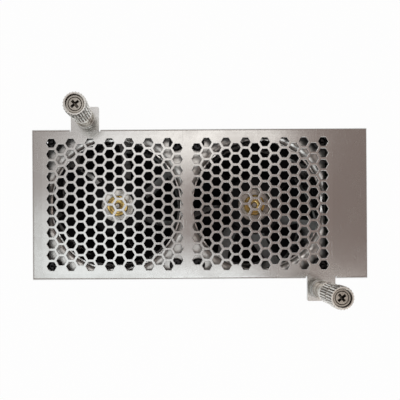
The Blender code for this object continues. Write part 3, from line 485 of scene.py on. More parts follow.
class Wire:
    """A number that flows between shader nodes, on which Python's operators act."""

    def __init__(self, recipe: "Recipe", socket: bpy.types.NodeSocket) -> None:
        """Wraps an output socket.

        Args:
            recipe: The recipe that the socket belongs to.
            socket: The socket.
        """
        self.recipe = recipe
        self.socket = socket

    def _maths(
        self, operation: str, left: "Number", right: "Number", clamp: bool = False
    ) -> "Wire":
        """Adds one Math node."""
        settings = {"operation": operation, "use_clamp": clamp}
        return self.recipe.wire("ShaderNodeMath", settings, {0: left, 1: right})

    def __add__(self, other: "Number") -> "Wire":
        """Self plus other."""
        return self._maths("ADD", self, other)

    def __radd__(self, other: "Number") -> "Wire":
        """Other plus self."""
        return self._maths("ADD", other, self)

    def __sub__(self, other: "Number") -> "Wire":
        """Self minus other."""
        return self._maths("SUBTRACT", self, other)

    def __rsub__(self, other: "Number") -> "Wire":
        """Other minus self."""
        return self._maths("SUBTRACT", other, self)

    def __mul__(self, other: "Number") -> "Wire":
        """Self times other."""
        return self._maths("MULTIPLY", self, other)

    def __rmul__(self, other: "Number") -> "Wire":
        """Other times self."""
        return self._maths("MULTIPLY", other, self)

    def __gt__(self, other: "Number") -> "Wire":
        """One where self is above other."""
        return self._maths("GREATER_THAN", self, other)

    def wave(self) -> "Wire":
        """The sine of self."""
        return self._maths("SINE", self, 0.0)

    def held(self) -> "Wire":
        """Self, kept between 0 and 1."""
        return self._maths("ADD", self, 0.0, clamp=True)

    def above(self, start: float, end: float) -> "Wire":
        """How far self is from start to end, from 0 to 1.

        Args:
            start: Where the result leaves 0.
            end: Where it reaches 1.

        Returns:
            The share.
        """
        return ((self - start) * (1.0 / (end - start))).held()


Number = Union[Wire, float]


class Recipe:
    """A material's nodes, all made by one method."""

    def __init__(self, name: str) -> None:
        """Starts an empty material.

        Args:
            name: The material's name.
        """
        self.material = bpy.data.materials.new(name)
        self.material.use_nodes = True
        self.tree = self.material.node_tree
        self.tree.nodes.clear()

    @classmethod
    def on(cls, tree: bpy.types.NodeTree) -> "Recipe":
        """Starts an empty recipe on a node tree that isn't a material's.

        Args:
            tree: The node tree.

        Returns:
            The recipe.
        """
        recipe = cls.__new__(cls)
        recipe.tree = tree
        tree.nodes.clear()
        return recipe

    def node(
        self, kind: str, settings: Optional[dict] = None, sockets: Optional[dict] = None
    ) -> bpy.types.Node:
        """Makes one node.

        Args:
            kind: Its type.
            settings: What it is set to, before its sockets.
            sockets: Values or wires for its inputs.

        Returns:
            The node.
        """
        made = self.tree.nodes.new(kind)
        for key, value in (settings or {}).items():
            setattr(made, key, value)
        for key, value in (sockets or {}).items():
            if isinstance(value, Wire):
                self.tree.links.new(value.socket, made.inputs[key])
            else:
                made.inputs[key].default_value = value
        return made

    def wire(
        self,
        kind: str,
        settings: Optional[dict] = None,
        sockets: Optional[dict] = None,
        out: Any = 0,
    ) -> Wire:
        """Makes one node and takes one of its outputs.

        Args:
            kind: Its type.
            settings: What it is set to.
            sockets: Values or wires for its inputs.
            out: Which output to take.

        Returns:
            That output.
        """
        return Wire(self, self.node(kind, settings, sockets).outputs[out])

    def place(self) -> Wire:
        """Where a point is on the object."""
        return self.wire("ShaderNodeTexCoord", out="Object")

    def stretched(self, scale: Place, centre: Place = (0, 0, 0)) -> Wire:
        """Where a point is, moved to a centre and stretched.

        Args:
            scale: Stretch along X, Y and Z.
            centre: The point that becomes zero.

        Returns:
            The place.
        """
        shift = tuple(-c * s for c, s in zip(centre, scale))
        sockets = {"Vector": self.place(), "Location": shift, "Scale": scale}
        return self.wire("ShaderNodeMapping", {"vector_type": "POINT"}, sockets)

    def coordinate(self, vector: Wire, axis: str) -> Wire:
        """One coordinate of a vector."""
        return self.wire("ShaderNodeSeparateXYZ", None, {0: vector}, out=axis)

    def noise(self, vector: Wire, scale: float, detail: float = 2.0, rough: float = 0.5) -> Wire:
        """Noise from 0 to 1.

        Args:
            vector: Where to read it.
            scale: How fine it is.
            detail: How many finer layers it has.
            rough: How strong those are.

        Returns:
            The noise.
        """
        sockets = {"Vector": vector, "Scale": scale, "Detail": detail, "Roughness": rough}
        return self.wire("ShaderNodeTexNoise", None, sockets)

    def blend(self, share: Number, first: Union[Wire, Colour], second: Union[Wire, Colour]) -> Wire:
        """Mixes two colours.

        Args:
            share: How much of the second there is.
            first: The first colour.
            second: The second colour.

        Returns:
            The mix.
        """
        ends = [end if isinstance(end, Wire) else (*end, 1.0) for end in (first, second)]
        sockets = {0: share, 6: ends[0], 7: ends[1]}
        return self.wire("ShaderNodeMix", {"data_type": "RGBA"}, sockets, out=2)

    def finish(
        self, fixed: dict, varied: dict, height: Optional[Wire], depth: float
    ) -> bpy.types.Material:
        """Ends the recipe in a Principled shader.

        Args:
            fixed: Plain values of its sockets.
            varied: Wires for its sockets.
            height: Relief of the surface, from 0 to 1.
            depth: Depth of that relief, in metres.

        Returns:
            The material.
        """
        sockets = {**fixed, **varied}
        if height is not None:
            relief = {"Distance": depth, "Height": height}
            sockets["Normal"] = self.wire("ShaderNodeBump", None, relief)
        shader = self.wire("ShaderNodeBsdfPrincipled", None, sockets)
        self.node("ShaderNodeOutputMaterial", None, {"Surface": shader})
        return self.material


class Grain(Enum):
    """How a surface was made, which shows in its relief."""

    ROLLED = "zinc-coated sheet"
    TURNED = "lathe marks round an axis"
    CAST = "die-cast skin"
    MOULDED = "spark-eroded mould"
    STACKED = "punched laminations"
    WOUND = "enamelled wire"
    PLATED = "smooth plating"


GRAIN_SCALES = {Grain.CAST: 1300.0, Grain.MOULDED: 3800.0, Grain.PLATED: 700.0}
CLOUD_SCALE = 34.0
SPECK_SCALE = 420.0
WIRE_PITCH = 0.28 * MM
LAMINATION = 0.5 * MM
MACHINED = (0.94, 0.94, 0.93)
# Dark brown painted into grooves and recesses as shade.
GROOVE_SHADE = (0.075, 0.062, 0.05)
# Pale colour on the grille: a faint burnish all over, and a painted highlight on the chamfered hole
# rims.
BURNISH_AND_HIGHLIGHT = (0.96, 0.96, 0.95)
# Dark colour painted on the grille's hole walls as shade.
PAINTED_WALL_SHADE = (0.12, 0.115, 0.11)


@dataclass(frozen=True)
class Band:
    """A ring-shaped region round a piece's axis.

    Attributes:
        away: Its inner and outer radius.
        rise: Its lowest and highest height.
    """

    away: Point
    rise: Point


@dataclass(frozen=True)
class Finish:
    """A surface finish of this module.

    Attributes:
        slot: The record's material slot.
        colour: Main colour.
        patch: Colour of the cloudy patches in it.
        metallic: 1 for bare metal.
        roughness: Mean roughness.
        spread: How far the roughness drifts either way.
        grain: How the surface was made.
        relief: Depth of its grain, in metres.
        centre: A point on the axis of a turned piece.
        machined: Inner and outer radius of a band that is machined bright, round the centre.
        sheen: How strongly a bare dielectric mirrors.
        burnish_and_painted_light: Half width and half height of the grille area round the centre,
            with a faint burnish, painted highlight on its hole rims and painted shade on its hole
            walls.
        shaded_grooves: The bands of grooves and recesses that are darkened with painted shade.
    """

    slot: str
    colour: Colour
    patch: Colour
    metallic: float
    roughness: float
    spread: float
    grain: Grain
    relief: float
    centre: Place = (0.0, 0.0, 0.0)
    machined: Optional[Point] = None
    sheen: float = 0.5
    burnish_and_painted_light: Optional[Point] = None
    shaded_grooves: tuple[Band, ...] = ()

    def at(self, x: float, y: float) -> "Finish":
        """The same finish turned about another axis.

        Args:
            x: The axis's X.
            y: The axis's Y.

        Returns:
            The finish.
        """
        return replace(self, centre=(x, y, 0.0))

    def _rings(self, recipe: Recipe) -> Wire:
        """Finds where a point is round the piece's axis.

        Args:
            recipe: The recipe to add to.

        Returns:
            A vector of its distance from the axis and its height.
        """
        moved = recipe.stretched((1, 1, 1), self.centre)
        level = {0: moved, 1: (1, 1, 0)}
        flat = recipe.wire("ShaderNodeVectorMath", {"operation": "MULTIPLY"}, level)
        away = recipe.wire("ShaderNodeVectorMath", {"operation": "LENGTH"}, {0: flat}, out="Value")
        height = recipe.coordinate(moved, "Z")
        return recipe.wire("ShaderNodeCombineXYZ", None, {0: away, 1: height})

    def _inside(self, recipe: Recipe, band: Band) -> Wire:
        """Marks a band round the piece's axis.

        Args:
            recipe: The recipe to add to.
            band: The band.

        Returns:
            One inside the band and nothing outside it.
        """
        away = recipe.coordinate(self._rings(recipe), "X")
        rise = recipe.coordinate(self._rings(recipe), "Y")
        ring = (away > band.away[0]) * (1.0 - (away > band.away[1]))
        return ring * (rise > band.rise[0]) * (1.0 - (rise > band.rise[1]))

    def _punched(self, recipe: Recipe) -> tuple[Wire, Wire]:
        """Marks painted light in the punched grille: highlight on the holes' sloping broken edges,
        and shade on the holes' upright faces.

        Args:
            recipe: The recipe to add to.

        Returns:
            How strongly it is brightened, a faint burnish everywhere and a full painted highlight
            on the sloping edges, and where the holes' upright faces get painted shade.
        """
        tilt = recipe.wire("ShaderNodeNewGeometry", out="True Normal")
        slope = recipe.coordinate(tilt, "Z")
        # Sloping chamfers on the hole rims get a painted highlight.
        sloping = (slope > 0.5) * (1.0 - (slope > 0.9))
        moved = recipe.stretched((1, 1, 1), self.centre)
        across = recipe.coordinate(moved, "X")
        along = recipe.coordinate(moved, "Y")
        half_x, half_y = self.burnish_and_painted_light
        outside = ((across * across) > half_x ** 2) + ((along * along) > half_y ** 2)
        # The holes' upright faces inside the grille get painted shade.
        walls = 1.0 - (slope > 0.5) - outside
        return ((sloping * 0.9 + 0.10) - outside).held(), walls.held()

    def _height(self, recipe: Recipe) -> Wire:
        """Makes the relief of this finish's grain.

        Args:
            recipe: The recipe to add to.

        Returns:
            The relief, from 0 to 1.
        """
        if self.grain is Grain.ROLLED:
            streaks = recipe.noise(recipe.stretched((260, 5200, 5200)), 1.0, 3.0, 0.6)
            skin = recipe.noise(recipe.place(), 2400.0, 2.0)
            return streaks * 0.6 + skin * 0.4
        if self.grain is Grain.TURNED:
            return recipe.noise(self._rings(recipe), 5200.0, 2.0, 0.7)
        if self.grain is Grain.WOUND:
            away = recipe.coordinate(self._rings(recipe), "X")
            height = recipe.coordinate(self._rings(recipe), "Y")
            pitch = FULL_TURN / WIRE_PITCH
            return (away * pitch).wave() * 0.25 + (height * pitch).wave() * 0.25 + 0.5
        if self.grain is Grain.STACKED:
            height = recipe.coordinate(recipe.place(), "Z")
            return (height * (FULL_TURN / LAMINATION)).wave() * 0.5 + 0.5
        return recipe.noise(recipe.place(), GRAIN_SCALES[self.grain], 3.0, 0.55)

    def material(self) -> bpy.types.Material:
        """Makes the finish's material.

        Returns:
            The material.
        """
        recipe = Recipe(self.slot)
        height = self._height(recipe)
        cloud = recipe.noise(recipe.place(), CLOUD_SCALE, 4.0, 0.6)
        specks = recipe.noise(recipe.place(), SPECK_SCALE, 3.0, 0.6)
        patches = (cloud.above(0.38, 0.66) * 0.7 + specks.above(0.4, 0.7) * 0.3).held()
        drift = (patches - 0.5) * (2 * self.spread)
        roughness = self.roughness + drift + (height - 0.5) * self.spread
        if self.grain is Grain.ROLLED:
            scuffs = recipe.noise(recipe.stretched((900, 60, 900), (0.3, 0.2, 0.0)), 1.0, 2.0)
            roughness = roughness + scuffs.above(0.68, 0.74) * 0.10
        colour = recipe.blend(patches, self.colour, self.patch)
        if self.machined:
            away = recipe.coordinate(self._rings(recipe), "X")
            band = (away > self.machined[0]) * (1.0 - (away > self.machined[1]))
            colour = recipe.blend(band, colour, MACHINED)
            roughness = roughness - band * 0.12
        # Painted shade in grooves and recesses: darker and rougher inside each band.
        for band in self.shaded_grooves:
            groove_shade = self._inside(recipe, band)
            colour = recipe.blend(groove_shade * 0.85, colour, GROOVE_SHADE)
            roughness = roughness + groove_shade * 0.15
        # Painted highlight on the chamfered hole rims, over a faint burnish across the grille.
        if self.burnish_and_painted_light:
            rim_light_and_burnish, walls = self._punched(recipe)
            colour = recipe.blend(rim_light_and_burnish, colour, BURNISH_AND_HIGHLIGHT)
            # Painted shade on the grille's hole walls.
            colour = recipe.blend(walls * 0.9, colour, PAINTED_WALL_SHADE)
        fixed = {"Metallic": self.metallic, "Specular IOR Level": self.sheen}
        varied = {"Base Color": colour, "Roughness": roughness.held()}
        return recipe.finish(fixed, varied, height, self.relief)


SHEET = Finish(
    "satin_steel", (0.67, 0.675, 0.67), (0.60, 0.60, 0.59),
    1.0, 0.27, 0.05, Grain.ROLLED, 0.000006,
    # The grille area gets a faint burnish, a painted highlight on its hole rims and painted shade
    # on its hole walls.
    centre=(-7.15 * MM, 0.0, 0.0), burnish_and_painted_light=(84.0 * MM, 40.0 * MM),
)
TRAY_SHEET = Finish(
    "satin_steel", (0.60, 0.605, 0.60), (0.52, 0.52, 0.515),
    1.0, 0.42, 0.06, Grain.ROLLED, 0.000008,
)
BRIGHT = Finish(
    "bright_steel", (0.66, 0.645, 0.61), (0.50, 0.485, 0.455),
    1.0, 0.27, 0.07, Grain.TURNED, 0.000010,
)
KNURLED = Finish(
    "bright_steel", (0.76, 0.745, 0.71), (0.62, 0.605, 0.57),
    1.0, 0.25, 0.06, Grain.TURNED, 0.000010,
    # Painted shade in the knurl grooves of the barrel and the head.
    shaded_grooves=(
        Band((5.0 * MM, 5.48 * MM), (54.1 * MM, 59.85 * MM)),
        Band((5.25 * MM, 5.87 * MM), (61.7 * MM, 66.1 * MM)),
    ),
)
DRIVE = Finish(
    "bright_steel", (0.50, 0.475, 0.43), (0.36, 0.335, 0.295),
    # Painted shade in the cross recess and in the ring groove of the drive disc.
    1.0, 0.30, 0.07, Grain.TURNED, 0.000012,
    shaded_grooves=(
        Band((0.0, 2.75 * MM), (63.5 * MM, 65.35 * MM)),
        Band((3.2 * MM, 3.7 * MM), (65.0 * MM, 65.65 * MM)),
    ),
)
CAST = Finish(
    "cast_aluminium", (0.70, 0.695, 0.68), (0.54, 0.535, 0.52),
    1.0, 0.36, 0.06, Grain.CAST, 0.00004,
    machined=(38.30 * MM, 39.05 * MM),
)
BRASS = Finish(
    "brass", (0.83, 0.62, 0.25), (0.66, 0.45, 0.15),
    1.0, 0.22, 0.07, Grain.TURNED, 0.000012,
)
COPPER = Finish(
    "copper", (0.72, 0.32, 0.13), (0.55, 0.20, 0.07),
    1.0, 0.32, 0.06, Grain.WOUND, 0.00006,
)
DARK = Finish(
    "dark_steel", (0.20, 0.20, 0.21), (0.12, 0.12, 0.13),
    1.0, 0.45, 0.06, Grain.STACKED, 0.00003,
)
BLACKED = Finish(
    "black_steel", (0.040, 0.040, 0.042), (0.020, 0.020, 0.022),
    0.9, 0.38, 0.08, Grain.PLATED, 0.000015,
)
FERRITE = Finish(
    "ferrite", (0.050, 0.048, 0.047), (0.030, 0.030, 0.030),
    0.1, 0.70, 0.08, Grain.CAST, 0.00004,
)
BLACK = Finish(
    "black_plastic", (0.005, 0.005, 0.006), (0.010, 0.010, 0.011),
    0.0, 0.52, 0.08, Grain.MOULDED, 0.00002,
    sheen=0.15,
)
NYLON = Finish(
    "white_plastic", (0.78, 0.76, 0.69), (0.72, 0.69, 0.60),
    0.0, 0.42, 0.06, Grain.MOULDED, 0.000015,
)
BOARD = Finish(
    "board", (0.018, 0.120, 0.045), (0.010, 0.080, 0.030),
    0.0, 0.30, 0.05, Grain.PLATED, 0.00002,
)


@dataclass
class Module:
    """What every sub-assembly does: dress its pieces, hang them on their bodies and hide the CAD
    nodes that they replace.
    """

    made: dict[Finish, bpy.types.Material] = field(default_factory=dict, init=False, repr=False)

    def dress(
        self,
        piece: Piece,
        finish: Finish,
        body: str = "root",
        stands_for: Iterable[str] = (),
    ) -> Piece:
        """Gives a new piece its material and its body, and hides the CAD nodes that it stands for.

        Args:
            piece: The piece.
            finish: Its finish.
            body: The body that it rides on.
            stands_for: The CAD nodes that it replaces.

        Returns:
            The piece.
        """
        self.coat(piece, finish)
        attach(piece, body)
        nodes = list(stands_for)
        if nodes:
            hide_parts(*nodes)
        log.info("%s: %d faces on %s", piece.name, len(piece.data.polygons), body)
        return piece

    def coat(self, piece: Piece, finish: Finish) -> None:
        """Puts a finish on a piece or a CAD node.

        Args:
            piece: The piece.
            finish: The finish.
        """
        if finish not in self.made:
            self.made[finish] = finish.material()
        if not piece.material_slots:
            piece.data.materials.append(self.made[finish])
        for material_slot in piece.material_slots:
            material_slot.material = self.made[finish]


@dataclass
class Case(Module):
    """The front panel and the tray behind it, and the screws that hold them together."""

    width: float = 194.6 * MM
    height: float = 87.4 * MM
    panel_front: float = 44.5 * MM
    panel_back: float = 43.5 * MM
    flange_end: float = 32.5 * MM
    bend: float = 1.5 * MM
    sheet: float = 1.0 * MM
    tray_width: float = 192.0 * MM
    tray_height: float = 84.8 * MM
    tray_top: float = 43.2 * MM
    tray_sheet: float = 1.2 * MM
    tray_bend: float = 1.7 * MM
    relief: float = 2.2 * MM
    tray_relief: float = 1.8 * MM
    edge: float = 0.12 * MM
    ear_width: float = 16.2 * MM
    ear_reach: float = 12.8 * MM
    ear_gap: float = 0.8 * MM
    ear_hole: float = 3.9 * MM
    hex_pitch: float = 6.5 * MM
    hex_flats: float = 5.05 * MM
    hex_edge: float = 0.20 * MM
    hex_columns: int = 14
    hex_rows: int = 12
    outlet: float = 38.7 * MM
    small_hole: float = 2.2 * MM
    connector_cut: Point = (4.8 * MM, 14.3 * MM)
    post_at: float = 25.0 * MM
    screw_drill: float = 1.55 * MM
    screw_radius: float = 1.25 * MM
    screw_cone: float = 1.15 * MM
    screw_length: float = 3.1 * MM
    screw_sink: float = 0.1 * MM
    drill_depth: float = 4.5 * MM
    ears: tuple[Point, ...] = EARS
    ear_corner: float = 0.7 * MM
    fans: Point = FAN_AXES
    bay: float = 84.925 * MM
    past: float = 1.0 * MM

    def _corner_notches(
        self, piece: Piece, size: Point, notch: float, low: float, high: float
    ) -> None:
        """Opens the four corners of a pan, so that its folds don't meet.

        Args:
            piece: The pan.
            size: Its width and height.
            notch: Side of each notch.
            low: Where the notches start.
            high: Where they end.
        """
        for side_x in (-1, 1):
            for side_y in (-1, 1):
                xs = sorted(side_x * (size[0] / 2 + reach) for reach in (self.past, -notch))
                ys = sorted(side_y * (size[1] / 2 + reach) for reach in (self.past, -notch))
                block = Bench.block("notch", (xs[0], ys[0], low), (xs[1], ys[1], high))
                Bench.carve(piece, Cut.AWAY, block)

    def _ear_block(self, ear: Point, grow: float, zs: Point, reach: Point) -> Piece:
        """Makes a block over the panel's edge at one ear.

        Args:
            ear: The ear's middle.
            grow: How much wider than the ear the block is, on each side.
            zs: Its lowest and highest height.
            reach: How far in from the edge, and how far out, it goes.

        Returns:
            The block.
        """
        x, y = ear
        side = math.copysign(1, y)
        half = self.ear_width / 2 + grow
        ys = sorted((side * (self.height / 2 - reach[0]), side * (self.height / 2 + reach[1])))
        return Bench.block("ear", (x - half, ys[0], zs[0]), (x + half, ys[1], zs[1]))

    def _round_ear(self, block: Piece) -> None:
        """Rounds the two outer corners of an ear.

        Args:
            block: The ear.
        """
        Bench.edit(block)
        outer = self.height / 2 + self.ear_reach
        Bench.pick(
            block,
            Part.EDGES,
            lambda edge: runs_along(edge, 2) and abs(abs(edge.verts[0].co.y) - outer) < SLACK,
        )
        bpy.ops.mesh.bevel(offset=self.ear_corner, segments=4, affect="EDGES")
        Bench.rest()

    def _punch(self) -> Piece:
        """Makes one hexagonal punch whose shoulder breaks the edge of its hole.

        Returns:
            The punch, round the Z axis.
        """
        radius = self.hex_flats / math.sqrt(3)
        low = self.panel_back - self.past
        high = self.panel_front - self.hex_edge
        middle = (0, 0, (low + high) / 2)
        punch = Bench.rod("punch", radius, 6, middle, high - low, QUARTER_TURN / 3)
        Bench.edit(punch)
        Bench.pick(punch, Part.FACES, lambda face: face.calc_center_median().z > high - SLACK)
        for rise, grow in ((self.hex_edge, self.hex_edge), (self.past, 0.0)):
            bpy.ops.mesh.extrude_region_move(TRANSFORM_OT_translate={"value": (0, 0, rise)})
            scale = (radius + grow) / radius
            bpy.ops.transform.resize(value=(scale, scale, 1), center_override=(0, 0, 0))
        Bench.rest()
        return punch

    def _honeycomb(self) -> Piece:
        """Makes every hole of both grilles.

        Returns:
            One cutter for all of them.
        """
        column_pitch = self.hex_pitch * math.cos(math.radians(30))
        punch = self._punch()
        rows = []
        for fan_x, full_first in zip(self.fans, (True, False)):
            left = fan_x - (self.hex_columns - 1) / 2 * column_pitch
            for parity in (0, 1):
                count = self.hex_rows - (parity if full_first else 1 - parity)
                start = (left + parity * column_pitch, -(count - 1) / 2 * self.hex_pitch, 0)
                grid = Bench.copy(punch, "grid", start)
                Bench.repeat(grid, count, (0, self.hex_pitch, 0))
                Bench.repeat(grid, self.hex_columns // 2, (2 * column_pitch, 0, 0))
                rows.append(grid)
        Bench.drop(punch)
        return Bench.join(rows)

    def screw_places(self) -> list[tuple[Place, Place]]:
        """Lists the screws round the flanges.

        Returns:
            Where each screw's head is and how it is turned, outwards from the wall.
        """
        z = (self.panel_front + self.flange_end) / 2
        half_x = self.width / 2
        half_y = self.height / 2
        between = sum(self.fans) / 2
        up = (-QUARTER_TURN, 0, 0)
        down = (QUARTER_TURN, 0, 0)
        return [
            ((between, half_y, z), up),
            ((between, -half_y, z), down),
            ((self.bay, half_y, z), up),
            ((self.ears[0][0], -half_y, z), down),
            ((-half_x, 0, z), (0, -QUARTER_TURN, 0)),
            ((half_x, 0, z), (0, QUARTER_TURN, 0)),
        ]

    def _drill_flanges(self, piece: Piece) -> None:
        """Drills and countersinks a pan for its flange screws.

        Args:
            piece: The pan.
        """
        cone = self.screw_cone + self.screw_sink
        drill = Bench.turned(
            "drill",
            [
                (self.screw_drill, -self.drill_depth),
                (self.screw_drill, -cone),
                (self.screw_drill + cone, 0.0),
                (self.screw_drill + cone + self.past, self.past),
            ],
            32,
        )
        for place, turn in self.screw_places():
            Bench.carve(piece, Cut.AWAY, Bench.copy(drill, "hole", place, turn))
        Bench.drop(drill)

    def build_panel(self) -> None:
        """Builds the front panel: flanges, ears and both grilles."""
        half_x = self.width / 2
        half_y = self.height / 2
        panel = Bench.folded_pan(
            "panel_sheet", (-half_x, -half_y, self.flange_end), (half_x, half_y, self.panel_front),
            False, self.bend, self.sheet,
        )
        below = self.flange_end - self.past
        size = (self.width, self.height)
        self._corner_notches(panel, size, self.relief, below, self.panel_back - self.sheet)
        for ear in self.ears:
            tall = (below, self.panel_front + self.past)
            gap = self._ear_block(ear, self.ear_gap, tall, (self.bend, self.past))
            Bench.carve(panel, Cut.AWAY, gap)
            flat = (self.panel_back, self.panel_front)
            tab = self._ear_block(ear, 0.0, flat, (self.bend + self.ear_gap, self.ear_reach))
            self._round_ear(tab)
            Bench.carve(panel, Cut.WITH, tab)
        Bench.merge(panel)
        Bench.soften(panel, self.edge)
        for x, y in self.ears:
            place = (x, y, self.panel_front)
            hole = Bench.rod("ear_hole", self.ear_hole, 48, place, 4 * self.past)
            Bench.carve(panel, Cut.AWAY, hole)
        self._drill_flanges(panel)
        Bench.carve(panel, Cut.AWAY, self._honeycomb())
        Bench.smooth(panel)
        self.dress(panel, SHEET, "root", ["front_panel"])

    def _open_bay(self, tray: Piece) -> None:
        """Cuts the tray's floor for the rear connector and the board's two posts.

        Args:
            tray: The tray.
        """
        deep = 3 * self.past
        half_x, half_y = self.connector_cut
        low = (self.bay - half_x, -half_y, -deep)
        Bench.carve(tray, Cut.AWAY, Bench.block("cut", low, (self.bay + half_x, half_y, deep)))
        for side in (-1, 1):
            place = (self.bay, side * self.post_at, 0)
            Bench.carve(tray, Cut.AWAY, Bench.rod("hole", self.small_hole, 24, place, 2 * deep))

    def build_tray(self, corners: list[Point]) -> None:
        """Builds the tray that holds the fans.

        Args:
            corners: Where each fan's screws are, from its axis.
        """
        half_x = self.tray_width / 2
        half_y = self.tray_height / 2
        tray = Bench.folded_pan(
            "tray_sheet", (-half_x, -half_y, 0.0), (half_x, half_y, self.tray_top),
            True, self.tray_bend, self.tray_sheet,
        )
        foot = self.tray_bend + self.tray_sheet
        size = (self.tray_width, self.tray_height)
        self._corner_notches(tray, size, self.tray_relief, foot, self.tray_top + self.past)
        Bench.merge(tray)
        Bench.soften(tray, self.edge)
        Bench.merge(tray)
        self._drill_flanges(tray)
        self._open_bay(tray)
        holes = [(self.outlet, 0.0, 0.0, 128)] + [(self.small_hole, x, y, 24) for x, y in corners]
        for fan_x in self.fans:
            for radius, x, y, facets in holes:
                place = (fan_x + x, y, 0)
                outlet = Bench.rod("outlet", radius, facets, place, 6 * self.past)
                Bench.carve(tray, Cut.AWAY, outlet)
        Bench.smooth(tray)
        self.dress(tray, TRAY_SHEET, "root", ["rear_tray"])

    def build_screws(self) -> None:
        """Builds the six countersunk screws round the flanges."""
        sink = -self.screw_sink
        screw = Bench.turned(
            "countersunk",
            [
                (self.screw_radius * 0.7, -self.screw_length),
                (self.screw_radius, -self.screw_length + 0.35 * MM),
                (self.screw_radius, sink - self.screw_cone),
                (self.screw_radius + self.screw_cone, sink - 0.08 * MM),
                (self.screw_radius + self.screw_cone - 0.08 * MM, sink),
            ],
            40,
        )
        Bench.cross_recess(screw, 2.6 * MM, 0.62 * MM, sink, 0.95 * MM)
        for number, (place, turn) in enumerate(self.screw_places(), start=1):
            piece = Bench.copy(screw, f"flange_screw_{number}", place, turn)
            Bench.smooth(piece)
            self.dress(piece, BRIGHT.at(place[0], place[1]), "root", [f"cover_screw_{number}"])
        Bench.drop(screw)

    def build(self, corners: list[Point]) -> None:
        """Builds the whole case.

        Args:
            corners: Where each fan's screws are, from its axis.
        """
        self.build_panel()
        self.build_tray(corners)
        self.build_screws()


